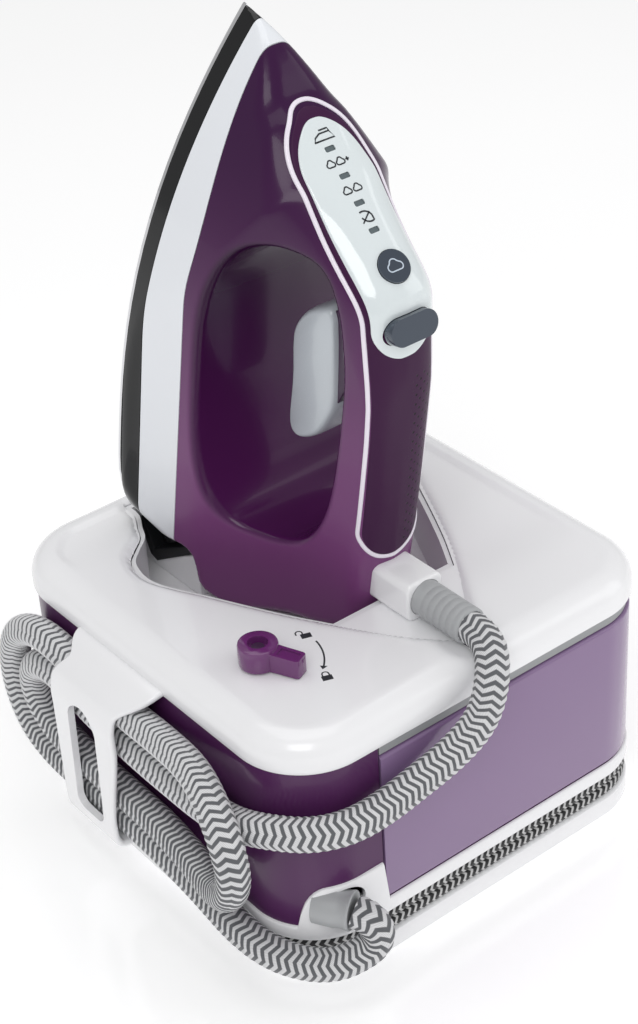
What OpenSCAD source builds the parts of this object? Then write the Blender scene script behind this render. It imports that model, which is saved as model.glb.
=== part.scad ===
// Steam generator iron: a compact steam station with its iron docked upright on the lid.
// Millimetres. +Z is up, the tank's long face looks along -Y and the hose side along -X.

/* [Station] */
// Width of the station
base_w = 220; // [200:1:240]
// Depth of the station
base_d = 224; // [205:1:245]
// Radius of the station's four upright corners
corner_r = 35; // [28:1:42]
// Height of the flat top of the lid
lid_top_z = 140; // [139:0.5:142]
// Wall of the moulded casings
wall = 3; // [2.5:0.1:3.5]

/* [Iron] */
// Length of the soleplate
sole_len = 265; // [260:1:268]
// Half the widest width of the soleplate
sole_half = 60; // [57:0.5:61]
// Lean of the docked soleplate from the vertical
dock_lean = 12; // [11.5:0.1:12.5]
// Height of the docked nose tip above the table
nose_z = 397; // [396:0.5:399]
// Half the width of the light ring round the handle's top
ring_half = 23; // [22:0.5:24]

/* [Cords] */
// Outer diameter of the braided steam hose
hose_d = 15.5; // [14:0.1:15.6]
// Diameter of the braided mains lead
lead_d = 6.4; // [6:0.1:6.5]

/* [Hidden] */
$fn = 64;

// The hook stands out to one side, so the frame's origin lies this far from the station's centre.
hook_x = -131;
frame_dx = -(hook_x + base_w / 2) / 2;

// Heights of the station's layers
foot_h = 3;
groove_z = 14;
groove_top_z = 27.2;
band_z = 35;
lid_z = 123;
lid_shoulder_z = 131;
groove_deep = 7.2;
house_in = 1.5;
tank_top_z = 116.5;
tank_x = -61;
tank_y = -52;
tank_step_y = -6;
tank_step_z = 85;
tank_side_x = 82;
gland_top_z = 57;

// The iron's mid-plane and the docked nose tip
iron_x = 3;
nose_y = 37;
// Slope of the control panel against the soleplate, and where it starts: distance from the nose, height
panel_a = 55.9;
panel_s = 29;
panel_v = 49;

white = [0.93, 0.93, 0.95];
purple = [0.33, 0.14, 0.35];
grip_purple = [0.25, 0.12, 0.25];
violet = [0.52, 0.44, 0.60, 0.7];
grey = [0.62, 0.64, 0.66];
black = [0.07, 0.07, 0.08];
steel = [0.75, 0.76, 0.78];
brass = [0.78, 0.62, 0.30];

// ---------- shared shapes ----------

// Moves the station's centre onto the frame, so that the object is centred on its own origin.
module in_frame() {
    translate([frame_dx, 0, 0]) children();
}

// The station's plan, drawn in by a distance, between two heights
module slab(inset, z0, z1) {
    r = corner_r - inset;
    w = base_w / 2 - inset - r;
    d = base_d / 2 - inset - r;
    translate([0, 0, z0]) linear_extrude(z1 - z0) union() {
        square([2 * w, 2 * (d + r)], center = true);
        square([2 * (w + r), 2 * d], center = true);
        for (sx = [-1, 1], sy = [-1, 1]) translate([sx * w, sy * d]) circle(r);
    }
}

// A box from its lowest to its highest corner
module block(a, b) {
    translate(a) cube(b - a);
}

// A round bar from one point, along an axis named by its rotation
module rod(p, rot, r, h) {
    translate(p) rotate(rot) cylinder(r = r, h = h);
}

// Puts the iron, modelled flat on its sole with the nose tip at the origin, into the dock.
module docked() {
    translate([iron_x, nose_y, nose_z]) rotate([90 + dock_lean, 0, 0]) children();
}

// A place on the control panel, d along it from its top, with +Z out of the panel
module on_panel(d) {
    translate([0, -panel_s - d * cos(panel_a), panel_v + d * sin(panel_a)])
        rotate([-panel_a, 0, 0]) children();
}

// A smooth line through points: four points of a Catmull-Rom stretch, t from 0 to 1
function spline(a, b, c, d, t) =
    0.5 * (2 * b + (c - a) * t + (2 * a - 5 * b + 4 * c - d) * t * t + (3 * b - a - 3 * c + d) * t * t * t);
function at(p, i) = p[max(0, min(len(p) - 1, i))];
function smooth(p, n) = concat(
    [for (i = [0 : len(p) - 2], j = [0 : n - 1])
        spline(at(p, i - 1), at(p, i), at(p, i + 1), at(p, i + 2), j / n)],
    [p[len(p) - 1]]);
function unit(v) = v / norm(v);
function heading(p, i) = unit(at(p, i + 1) - at(p, i - 1));
// A side direction carried along the line, so that the tube doesn't twist
function carry(p, i, side) =
    i == len(p) ? [] :
    let (h = heading(p, i), s = unit(side - (side * h) * h))
    concat([s], carry(p, i + 1, s));

// A round tube swept along points, as one closed solid
module sweep(p, r, sides, side = [0, 0, 1]) {
    s = carry(p, 0, side);
    n = len(p);
    ring = [for (i = [0 : n - 1], k = [0 : sides - 1])
        let (h = heading(p, i), c = cross(h, s[i]), a = 360 * k / sides)
        p[i] + r * (cos(a) * s[i] + sin(a) * c)];
    skin = [for (i = [0 : n - 2], k = [0 : sides - 1])
        let (a = i * sides + k, b = i * sides + (k + 1) % sides)
        [a, a + sides, b + sides, b]];
    ends = [[for (k = [0 : sides - 1]) k], [for (k = [sides - 1 : -1 : 0]) (n - 1) * sides + k]];
    polyhedron(points = ring, faces = concat(skin, ends), convexity = 8);
}

// ---------- the station ----------

feet_x = 78;
feet_y = 80;
foot_peg_r = 4;

module rubber_feet() {
    color(black) in_frame() for (sx = [-1, 1], sy = [-1, 1]) {
        translate([sx * feet_x, sy * feet_y, 0]) cylinder(r1 = 8, r2 = 9, h = foot_h);
        translate([sx * feet_x, sy * feet_y, foot_h]) cylinder(r = foot_peg_r, h = 2);
    }
}

// The screws: x, y, and the direction of the nearest wall
screw_places = [[-92, 94, 135], [92, 94, 45], [-99, -26, 180]];
screw_r = 2;
screw_head_r = 3.6;
boss_r = 4.5;

module at_screws() {
    for (s = screw_places) translate([s[0], s[1], 0]) rotate([0, 0, s[2]]) children();
}

// The raised part of the tray round the hose's gland, at the front corner of the hose side
module gland_tower(inset, grow) {
    intersection() {
        slab(inset, band_z - 1, gland_top_z + grow);
        union() {
            block([-93 - grow, -base_d, band_z - 1], [tank_x - 1 + grow, -70, gland_top_z + grow]);
            block([-99 - grow, -base_d, band_z - 1], [-92, -70, gland_top_z - 6 + grow]);
            rod([-93, -70, gland_top_z - 6], [90, 0, 0], 6 + grow, base_d);
        }
    }
}

module base_tray() {
    color(white) in_frame() difference() {
        union() {
            slab(0, foot_h, groove_z);
            slab(groove_deep, groove_z - 1, groove_top_z + 1);
            slab(0, groove_top_z, band_z);
            difference() {
                gland_tower(0, 0);
                slab(wall, band_z, 100);
            }
        }
        difference() {
            slab(groove_deep + wall, foot_h + wall, band_z + 1);
            at_screws() cylinder(r = boss_r, h = band_z);
        }
        for (sx = [-1, 1], sy = [-1, 1])
            translate([sx * feet_x, sy * feet_y, foot_h - 1]) cylinder(r = foot_peg_r, h = 3);
        at_screws() cylinder(r = screw_r, h = band_z + 1);
        at_screws() cylinder(r = screw_head_r + 0.4, h = foot_h + 3);
        gland_place() cylinder(r = gland_r, h = 40, center = true);
        translate([lead_exit_x, base_d / 2 - groove_deep + 1, lead_low_z]) rotate([90, 0, 0])
            cylinder(r = lead_d / 2 + 1, h = 12);
    }
}

// The space that the removable tank slides into, open to the front and to the right
module tank_bay(gap) {
    block([tank_x - gap, -base_d, band_z], [base_w, tank_y + gap, lid_z]);
    block([tank_x - gap, -base_d, band_z], [base_w, tank_step_y + gap, tank_step_z + gap]);
    block([tank_side_x - gap, -base_d, band_z], [base_w, tank_step_y + gap, lid_z]);
}

module housing() {
    color(purple) in_frame() difference() {
        union() {
            difference() {
                slab(house_in, band_z, lid_z);
                slab(house_in + wall, band_z - 1, lid_z + 1);
            }
            intersection() {
                slab(house_in, band_z, lid_z);
                difference() {
                    tank_bay(0.8 + wall);
                    tank_bay(0.8);
                }
            }
            intersection() {
                slab(house_in, band_z, lid_z);
                at_screws() {
                    translate([0, 0, band_z]) cylinder(r = boss_r, h = lid_z - band_z);
                    block([0, -wall / 2, band_z], [12, wall / 2, lid_z]);
                }
            }
        }
        tank_bay(0.8);
        gland_tower(-1, 0.3);
        at_screws() translate([0, 0, band_z - 1]) cylinder(r = screw_r, h = lid_z);
        rod([tank_x - 8, valve_y, valve_z], [0, 90, 0], inlet_r, 12);
    }
}

// The lid's outer form: upright edge, rounded shoulder, flat top
module lid_form() {
    hull() {
        slab(0, lid_z, lid_shoulder_z, $fn = 32);
        slab(2.5, lid_shoulder_z, lid_shoulder_z + 4, $fn = 32);
        slab(8, lid_top_z - 1.5, lid_top_z - 1, $fn = 32);
        slab(12, lid_top_z - 0.5, lid_top_z, $fn = 32);
    }
}

// Half of the dock opening, from its tip at the front to its back edge: offset from the mid-plane, y
dock_half = [[1, -92], [14, -80], [43, -34], [54, -13], [66, 12], [77, 35], [78.5, 45], [75, 58], [68, 65],
    [60, 72], [56, 80], [51, 90], [50, 101]];
// The deep part of the dock starts behind this line
dock_deep_y = -47.8;
dish_z = 130;
well_floor_z = 106;

// The dock opening drawn in by a distance, between two heights
module dock_hole(inset, z0, z1) {
    translate([iron_x, 0, z0]) linear_extrude(z1 - z0)
        polygon(concat([for (p = dock_half) [max(0.5, p[0] - inset), p[1] + sign(-p[1]) * inset * 0.6]],
            [for (i = [len(dock_half) - 1 : -1 : 0])
                let (p = dock_half[i]) [-max(0.5, p[0] - inset), p[1] + sign(-p[1]) * inset * 0.6]]));
}

hose_rest_r = 10.2;
hose_rest_z = 147;
lever_x = -76;
lever_y = -48;
lever_shaft_r = 4;

module top_cover() {
    color(white) in_frame() difference() {
        union() {
            difference() {
                lid_form();
                slab(wall, lid_z - 1, lid_shoulder_z + 1);
                slab(wall + 9, lid_shoulder_z, lid_top_z - wall);
            }
            intersection() {
                block([-20, -100, lid_z + 2], [26, dock_deep_y, lid_top_z - 1]);
                slab(8, lid_z, lid_top_z - 1);
            }
            translate([lever_x, lever_y, lid_top_z - 9]) cylinder(r = 8, h = 8);
            at_screws() translate([0, 0, lid_z]) cylinder(r = boss_r, h = 12);
        }
        intersection() {
            dock_hole(0, lid_z - 1, 200);
            block([-150, dock_deep_y, 100], [150, 150, 200]);
        }
        intersection() {
            dock_hole(0, dish_z, 200);
            block([-150, -150, 100], [150, dock_deep_y + 1, 200]);
        }
        rod([iron_x, -70, hose_rest_z], [90, 0, 0], hose_rest_r, 60);
        translate([lever_x, lever_y, 100]) cylinder(r = lever_shaft_r + 0.06, h = 60);
        at_screws() translate([0, 0, lid_z - 1]) cylinder(r = screw_r, h = 8);
        block([-base_w, hook_y0 - 13.2, 100], [-base_w / 2 + 2, hook_y1 - 12.8, lid_z + 1]);
    }
}

// The grey insert that lines the deep part of the dock
module dock_well() {
    color(grey) in_frame() difference() {
        intersection() {
            dock_hole(0.4, well_floor_z - 2.5, lid_top_z - 3.5);
            block([-150, dock_deep_y + 0.4, 0], [150, 150, 200]);
        }
        intersection() {
            dock_hole(3, well_floor_z, 200);
            block([-150, dock_deep_y + 3, 0], [150, 150, 200]);
        }
    }
}

cradle_half = 44;
cradle_t = 3.8;
// The cradle's V in the side view: y and z of its inside corner and of the two tips of its arms
cradle_v = [86.6, 116.4];
cradle_back = [95.5, 132.4];
cradle_front = [52, 134.8];

function along(a, b, d) = a + unit(b - a) * d;
function left_of(a, b) = let (u = unit(b - a)) [-u[1], u[0]];

module heat_cradle() {
    back_n = -left_of(cradle_v, cradle_back) * cradle_t;
    front_n = left_of(cradle_v, cradle_front) * cradle_t;
    color(black) in_frame() union() {
        translate([iron_x - cradle_half, 0, 0]) rotate([90, 0, 90]) linear_extrude(2 * cradle_half)
            polygon([cradle_v, cradle_back, cradle_back + back_n, cradle_v + back_n + [0, -3],
                cradle_v + front_n + [0, -3], cradle_front + front_n, cradle_front]);
        block([iron_x - cradle_half + 6, cradle_v[0] - 4, well_floor_z + 0.1],
            [iron_x + cradle_half - 6, cradle_v[0] + 4, cradle_v[1] - 3]);
    }
}

lever_a = -67;
lever_z = lid_top_z + 0.3;

module lock_lever() {
    color([0.49, 0.24, 0.49]) in_frame() translate([lever_x, lever_y, 0]) {
        difference() {
            union() {
                translate([0, 0, lever_z]) cylinder(r = 9.2, h = 11);
                rotate([0, 0, lever_a]) block([0, -4.2, lever_z], [22, 4.2, lever_z + 9.5]);
            }
            translate([0, 0, lever_z + 7.5]) cylinder(r = 4.5, h = 4.5);
        }
        translate([0, 0, lid_z - 1]) cylinder(r = lever_shaft_r, h = lever_z - lid_z + 2);
    }
}

module lock_cam() {
    color(white) in_frame() translate([lever_x, lever_y, 0]) rotate([0, 0, lever_a + 90]) difference() {
        union() {
            translate([0, 0, lid_z + 2]) cylinder(r = 7, h = 5);
            block([0, -3, lid_z + 2], [15, 3, lid_z + 6]);
        }
        translate([0, 0, lid_z]) cylinder(r = lever_shaft_r, h = 12);
    }
}

tank_wall = 2.6;
filler_x = 70;
filler_y = -80;
valve_y = -32;
valve_z = 48;
inlet_r = 8;

// The tank's outer form, drawn in by a distance: its corner follows the station's
module tank_form(inset) {
    intersection() {
        slab(0.8 + inset, band_z + 0.6 + inset, tank_top_z - inset);
        union() {
            block([tank_x + inset, -base_d, 0], [base_w, tank_y - inset, 200]);
            block([tank_x + inset, -base_d, 0], [base_w, tank_step_y - inset, tank_step_z - inset]);
            block([tank_side_x + inset, -base_d, 0], [base_w, tank_step_y - inset, 200]);
        }
    }
}

module water_tank() {
    color(violet) in_frame() difference() {
        tank_form(0);
        tank_form(tank_wall);
        translate([filler_x, filler_y, tank_top_z - 10]) cylinder(r = 15, h = 20);
        rod([tank_x - 1, valve_y, valve_z], [0, 90, 0], 5, 8);
    }
}

module tank_valve() {
    color(white) in_frame() {
        difference() {
            union() {
                rod([tank_x - 3, valve_y, valve_z], [0, 90, 0], 4.9, 14);
                rod([tank_x + tank_wall + 0.1, valve_y, valve_z], [0, 90, 0], 8, 3);
            }
            rod([tank_x - 4, valve_y, valve_z], [0, 90, 0], 3, 11);
            rod([tank_x + 5, valve_y, valve_z], [0, 90, 0], 1.5, 10);
        }
    }
}

module tank_inlet() {
    color(grey) in_frame() difference() {
        union() {
            rod([tank_x - 18, valve_y, valve_z], [0, 90, 0], 4, 12);
            rod([tank_x - 7.9, valve_y, valve_z], [0, 90, 0], inlet_r - 0.05, 7);
        }
        rod([tank_x - 19, valve_y, valve_z], [0, 90, 0], 2.4, 30);
        rod([tank_x - 3.6, valve_y, valve_z], [0, 90, 0], 5.3, 10);
    }
}

// ---------- the hose side ----------

hook_t = 3.5;
hook_y0 = -5;
hook_y1 = 45;
hook_foot_z = 26;
hook_top_z = 121;

// A thin bar across the bracket, at one place of its side view
module hook_bar(x, z, dy) {
    translate([x, hook_y0 + dy, z]) rotate([-90, 0, 0])
        cylinder(r = hook_t / 2, h = hook_y1 - hook_y0, $fn = 24);
}

module hose_hook() {
    x1 = hook_x + hook_t / 2;
    color(white) in_frame() difference() {
        union() {
            hull() {
                hook_bar(-base_w / 2 - 0.4, hook_top_z + 1, -13);
                hook_bar(-119, hook_top_z - 1, -10);
            }
            hull() {
                hook_bar(-119, hook_top_z - 1, -10);
                hook_bar(-127, hook_top_z - 7, -5);
            }
            hull() {
                hook_bar(-127, hook_top_z - 7, -5);
                hook_bar(x1, hook_top_z - 18, 0);
            }
            hull() {
                hook_bar(x1, hook_top_z - 18, 0);
                hook_bar(x1, hook_foot_z + 7, 0);
            }
            hull() {
                hook_bar(x1, hook_foot_z + 7, 0);
                hook_bar(x1 + 5, hook_foot_z + hook_t / 2, 0);
            }
            hull() {
                hook_bar(x1 + 5, hook_foot_z + hook_t / 2, 0);
                hook_bar(-base_w / 2 - hook_t / 2 - 0.1, hook_foot_z + hook_t / 2, 0);
            }
        }
        hull() {
            rod([hook_x - 5, 19, 96], [0, 90, 0], 8, 20);
            rod([hook_x - 5, 19, 44], [0, 90, 0], 5, 20);
            rod([hook_x - 5, 26, 44], [0, 90, 0], 5, 20);
        }
    }
}

gland_r = 9.4;
gland_at = [-90, -106, 46];
gland_turn = -60;
sleeve_out = 12.5;

// Stands +Z out of the gland's mouth
module gland_place() {
    translate(gland_at) rotate([0, 0, gland_turn]) rotate([0, 90, 0]) children();
}

module hose_gland() {
    color(grey) in_frame() difference() {
        union() {
            gland_place() translate([0, 0, -6]) cylinder(r = gland_r - 0.1, h = sleeve_out + 6);
            gland_place() translate([0, 0, -9]) cylinder(r = 4, h = 4);
        }
        gland_place() translate([0, 0, -10]) cylinder(r = 2.5, h = 30);
    }
}

// The steam hose, from the iron's sleeve round the station, through the hook twice, to the gland
hose_route = [
    [3, -98, 147], [3, -106, 147], [0, -115, 144.5], [-7, -122.5, 135.5], [-15, -125, 122], [-30, -123, 110],
    [-49, -121, 103], [-68, -120.5, 99], [-86, -119, 98], [-101.5, -112, 98], [-112, -98.5, 97],
    [-117, -82, 93], [-118, -60, 89], [-118, -36, 88], [-118, -10, 88], [-118, 20, 90], [-118, 44, 93.5],
    [-118, 63, 95.5], [-118, 78, 90.5], [-118, 84, 78], [-118, 79, 65], [-118, 65, 57], [-119, 46, 56],
    [-119, 20, 55], [-119, -20, 54], [-122, -50, 54], [-127, -74, 57], [-131, -90, 67], [-132, -97, 82],
    [-131, -92, 97], [-127, -78, 107], [-122, -58, 111], [-119, -30, 109], [-118, -2, 107],
    [-117, 26, 107], [-117, 44, 109.8], [-117.5, 58, 112.5], [-118, 74, 111.5], [-118, 92, 101.5],
    [-118, 101, 82],
    [-118, 100, 62], [-118, 90, 46], [-118, 72, 39.5], [-118, 46, 38.5], [-118, 14, 38.5], [-118, -20, 37],
    [-118, -50, 33], [-118.5, -78, 29], [-114.5, -97.5, 26], [-104, -112.5, 23.5], [-95, -119.5, 24],
    [-87, -123.5, 27.5], [-81, -126, 30.5], [-78.2, -127, 37], [-79.2, -124.8, 43], [-82, -120, 46],
    [-83.75, -116.8, 46]];
hose_sides = 10;

module steam_hose() {
    color([0.55, 0.55, 0.57]) in_frame() sweep(smooth(hose_route, 1), hose_d / 2, hose_sides);
}

// ---------- the mains lead, wound in the tray's groove ----------

lead_low_z = groove_z + 0.2 + lead_d / 2;
lead_exit_x = 66;
lead_tail = [[90, 104.5, 23.8], [82, 110, 22.5], [75, 116, 17], [66, 125, 8], [56, 134, 4], [46, 140, 5], [37, 142, 10],
    [28, 142, 16], [20, 142, 18.5]];

module mains_gland() {
    color(black) in_frame() translate([lead_exit_x, base_d / 2 - groove_deep + 0.4, lead_low_z])
        rotate([90, 0, 0]) difference() {
            cylinder(r = lead_d / 2 + 0.9, h = 11);
            translate([0, 0, 3]) cylinder(r = lead_d / 2 - 1.2, h = 12);
        }
}

module mains_cord_coil() {
    color(black) in_frame() difference() {
        slab(0.5, groove_z + 0.1, groove_top_z - 0.1);
        slab(groove_deep - 0.2, groove_z - 1, groove_top_z + 1);
    }
}

module mains_cord_tail() {
    color(black) in_frame() sweep(smooth(lead_tail, 2), lead_d / 2, 8);
}

plug_r = 18.5;
pin_apart = 19;

module mains_plug() {
    color(black) in_frame() translate(lead_tail[len(lead_tail) - 1]) rotate([0, -90, 0]) {
        cylinder(r1 = 4.6, r2 = 8, h = 18.1);
        translate([0, 0, 18]) cylinder(r1 = 12, r2 = plug_r, h = 6.1);
        translate([0, 0, 24]) cylinder(r = plug_r, h = 14);
        for (s = [-1, 1]) translate([0, s * pin_apart / 2, 38]) cylinder(r = 2.4, h = 19);
    }
}

// ---------- inside the station ----------

boiler_y = 54;
boiler_z = 54;
boiler_r = 33;
boiler_x0 = -42;
boiler_len = 120;

module boiler() {
    color(steel) in_frame() difference() {
        union() {
            rod([boiler_x0, boiler_y, boiler_z], [0, 90, 0], boiler_r, boiler_len);
            for (x = [boiler_x0 + 20, boiler_x0 + boiler_len - 30])
                block([x, boiler_y - 14, foot_h + wall], [x + 10, boiler_y + 14, boiler_z - boiler_r + 3]);
        }
        rod([boiler_x0 + 2, boiler_y, boiler_z], [0, 90, 0], boiler_r - 2, boiler_len - 4);
        rod([boiler_x0 + boiler_len - 3, boiler_y, boiler_z - 14], [0, 90, 0], 8, 6);
        rod([30, boiler_y, boiler_z + boiler_r - 4], [0, 0, 0], 4, 8);
        rod([-20, boiler_y, boiler_z + boiler_r - 4], [0, 0, 0], 2.5, 8);
        rod([boiler_x0 - 1, boiler_y, boiler_z - 10], [0, 90, 0], 2.5, 6);
    }
}

module boiler_heater() {
    x = boiler_x0 + boiler_len;
    color([0.55, 0.4, 0.35]) in_frame() {
        rod([x - 2.9, boiler_y, boiler_z - 14], [0, 90, 0], 7.9, 3);
        rod([x, boiler_y, boiler_z - 14], [0, 90, 0], 11, 5);
        for (s = [-1, 1])
            rod([boiler_x0 + 24, boiler_y + s * 6, boiler_z - 14], [0, 90, 0], 1.8, boiler_len - 26);
        translate([boiler_x0 + 24, boiler_y, boiler_z - 14]) rotate([0, 0, 90])
            rotate_extrude(angle = 180) translate([6, 0]) circle(1.8);
    }
}

module safety_valve() {
    color(brass) in_frame() translate([30, boiler_y, boiler_z + boiler_r]) {
        translate([0, 0, -3.9]) cylinder(r = 3.95, h = 4);
        translate([0, 0, 0.1]) cylinder(r = 7, h = 4, $fn = 6);
        translate([0, 0, 4.1]) cylinder(r = 5, h = 8);
    }
}

module boiler_thermostat() {
    color(white) in_frame() translate([4, boiler_y, boiler_z + boiler_r + 0.2]) {
        cylinder(r = 8, h = 5);
        translate([-6, -3, 5]) cube([2, 6, 4]);
        translate([4, -3, 5]) cube([2, 6, 4]);
    }
}

pump_y = 12;
pump_z = 24;

module pump() {
    color(brass) in_frame() {
        block([-98, pump_y - 15, pump_z - 14], [-66, pump_y + 15, pump_z + 14]);
        rod([-66, pump_y, pump_z], [0, 90, 0], 8, 14);
        rod([-60, pump_y, pump_z + 6], [0, 0, 0], 3, 10);
    }
}

module pump_mounts() {
    color(black) in_frame() for (x = [-93, -76])
        block([x, pump_y - 12, foot_h + wall + 0.05], [x + 6, pump_y + 12, pump_z - 14.05]);
}

module solenoid_valve() {
    color(black) in_frame() {
        block([-103, -82, 40], [-85, -58, 64]);
        rod([-94, -70, 64], [0, 0, 0], 6, 10);
        rod([-94, -58, 50], [-90, 0, 0], 3.5, 6);
        rod([-94, -82, 46], [90, 0, 0], 3.5, 5);
    }
}

module control_board() {
    color([0.1, 0.35, 0.2]) in_frame() {
        block([96, 6, 44], [97.6, 86, 110]);
        block([86, 20, 50], [96.1, 44, 72]);
        block([84, 56, 84], [96.1, 76, 100]);
        block([88, 52, 54], [96.1, 80, 66]);
    }
}

water_route = [[-79, -32, 48], [-85, -32, 47.5], [-89, -29, 42], [-88, -22, 32], [-85, -13, 25.5],
    [-84, -7, 24], [-84, -3, 24]];
feed_route = [[-60, 12, 40], [-60, 13, 46], [-60, 22, 50], [-58, 38, 48], [-55, 50, 45], [-49, 54, 44],
    [-42, 54, 44]];
steam_route = [[-20, 54, 86], [-20, 54, 96], [-34, 34, 99], [-66, 6, 94], [-82, -24, 72], [-91, -40, 54],
    [-94, -47, 50.5], [-94, -52, 50]];
gland_link_route = [[-94, -87, 46], [-94.6, -91, 46], [-95.4, -95, 46], [-94.5, -98.2, 46]];

module water_tube() {
    color([0.8, 0.8, 0.78]) in_frame() sweep(smooth(water_route, 3), 2.9, 8);
}

module feed_tube() {
    color([0.8, 0.8, 0.78]) in_frame() sweep(smooth(feed_route, 3), 2.4, 8, [0, 1, 0]);
}

module steam_pipe() {
    color(steel) in_frame() {
        sweep(smooth(steam_route, 3), 2.4, 8, [0, 1, 0]);
        sweep(smooth(gland_link_route, 2), 2.4, 8);
    }
}

module tray_screws() {
    color(steel) in_frame() at_screws() translate([0, 0, foot_h + 1]) {
        cylinder(r = screw_head_r, h = 2);
        cylinder(r = screw_r - 0.05, h = band_z + 12);
    }
}

module cover_screws() {
    color(steel) in_frame() at_screws() translate([0, 0, lid_z - 12]) cylinder(r = screw_r - 0.05, h = 18);
}

// ---------- the iron, flat on its sole with the nose tip at the origin ----------

// Half the sole's width at a distance from the nose: a pointed nose and a rounded heel
wide_s = 215;
function sole_w(s, half, len) =
    s < wide_s ? half * (1 - pow(1 - s / wide_s, 2.6))
    : half * pow(max(0, 1 - pow((s - wide_s) / (len - wide_s), 3.2)), 1 / 3.2);
function sole_side(half, len) =
    [for (i = [0 : 30]) let (s = len * (1 - cos(i * 6)) / 2) [sole_w(s, half, len), -s]];
// A side line and its mirror image, as one closed outline
function both_sides(side) = concat(side, [for (i = [len(side) - 1 : -1 : 0]) [-side[i][0], side[i][1]]]);

// The sole's plan, drawn in by a distance, from one height to another
module sole_plan(inset, v0, v1) {
    side = sole_side(sole_half - inset, sole_len - inset * 2);
    translate([0, -inset, v0]) linear_extrude(v1 - v0)
        polygon(both_sides(side));
}

// The iron's side view: distance from the nose and height above the sole
iron_side = [[0, 0], [0, 4], [3, 13], [9, 24], [17, 33], [25, 41], [29, 49], [69, 108], [76, 116.5],
    [84, 121.5], [96, 123.5], [110, 124], [150, 125.5], [190, 127], [235, 129], [252, 128], [263, 122],
    [270, 108], [272, 85], [268, 60], [256, 43], [262, 20], [265, 0]];
// The iron seen from its nose: half the width at each height
iron_front = [[60, 0], [60, 4], [55, 12], [50.5, 34], [46.5, 48], [40, 62], [33, 78], [28, 95], [25.5, 108],
    [24, 116], [20.5, 123], [14, 127.5], [0, 130]];

// The iron's whole outer form: where its side view, front view and plan agree
module iron_form() {
    intersection() {
        rotate([90, 0, 90]) linear_extrude(200, center = true)
            polygon([for (p = iron_side) [-p[0], p[1]]]);
        rotate([90, 0, 0]) linear_extrude(300)
            polygon(both_sides(iron_front));
        iron_plan();
    }
}

// The iron's plan: the sole's, carried back over the heel
module iron_plan() {
    linear_extrude(200) polygon(both_sides(sole_side(sole_half, sole_len + 8)));
}

// The finger hole: centre, half length, half height of its rounded outline
hole_c = [151, 74.5];
hole_a = 78;
hole_b = 31;
hole_steps = 10;
function squircle(a, c) = sign(c) * a * pow(abs(c), 0.7);

module finger_hole(grow, half) {
    rotate([90, 0, 90]) linear_extrude(2 * half, center = true)
        polygon([for (i = [0 : 35]) [-hole_c[0] + squircle(hole_a + grow, cos(i * hole_steps)),
            hole_c[1] + squircle(hole_b + grow, sin(i * hole_steps))]]);
}

// A long loop in plan, round the handle's top
ring_top_s = 25;
ring_end_s = 219;

module loop_plan(half, s0, s1) {
    linear_extrude(200) union() {
        translate([-half, -(s1 - half)]) square([2 * half, s1 - s0 - 2 * half]);
        translate([0, -(s1 - half)]) circle(half);
        translate([0, -(s0 + half)]) circle(half);
    }
}

// The outer form lowered by the thickness of the handle's top skins
skin = 3;
module lowered(t) {
    translate([0, -t * 0.75, -t]) iron_form();
}

split_v = 34;
black_v = 11;

module soleplate() {
    color(steel) in_frame() docked() difference() {
        hull() {
            sole_plan(0, 0.8, 2.4);
            sole_plan(0.8, 0, 0.1);
        }
        for (i = [0 : 5], s = [-1, 1])
            translate([s * (14 + 5 * i), -60 - 26 * i, -1]) cylinder(r = 2, h = 2.2);
        for (i = [0 : 3]) translate([0, -30 - 40 * i, -1]) cylinder(r = 2, h = 2.2);
    }
}

module steam_chamber() {
    color([0.66, 0.67, 0.69]) in_frame() docked() difference() {
        sole_plan(17.5, 2.4, 14);
        sole_plan(25, 5, 11);
        translate([0, -200, 9]) cylinder(r = 3, h = 8);
    }
}

module sole_heater() {
    color([0.45, 0.4, 0.38]) in_frame() docked() {
        for (s = [-1, 1]) rod([s * 26, -150, 18.2], [90, 0, 0], 4, 70);
        translate([0, -150, 18.2]) rotate_extrude(angle = 180) translate([26, 0]) circle(4);
    }
}

module thermal_fuse() {
    color(white) in_frame() docked() translate([0, -160, 14.1]) {
        cylinder(r = 8, h = 4);
        translate([-3, -12, 0]) cube([6, 24, 2]);
    }
}

module sole_skirt() {
    color(black) in_frame() docked() difference() {
        intersection() {
            iron_form();
            sole_plan(0.6, 2.4, black_v);
        }
        sole_plan(8, 2, black_v + 1);
    }
}

module white_skirt() {
    color(white) in_frame() docked() difference() {
        intersection() {
            iron_form();
            translate([-100, -256, black_v]) cube([200, 300, split_v - black_v]);
        }
        intersection() {
            sole_plan(14, black_v - 1, split_v + 1);
            translate([-100, -248, black_v - 1]) cube([200, 300, 50]);
        }
    }
}

// The black heel that stands in the cradle, in the side view: distance from the nose, height
heel_side = [[257, 12], [263, 2.5], [281, 12.6], [259, 39.5], [258.6, 33.9], [257, 33.9]];

module heel_rest() {
    color(black) in_frame() docked() difference() {
        rotate([90, 0, 90]) linear_extrude(80, center = true) polygon([for (p = heel_side) [-p[0], p[1]]]);
        sole_plan(0.5, 0, black_v + 0.1);
        translate([0, -268, 20]) rotate([0, 90, 0]) cylinder(r = 3, h = 60, center = true);
    }
}

module connector_form(grow) {
    translate([iron_x - 11 - grow, -78, 136.5 - grow]) cube([22 + 2 * grow, 42, 19.4 + 2 * grow]);
}

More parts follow.
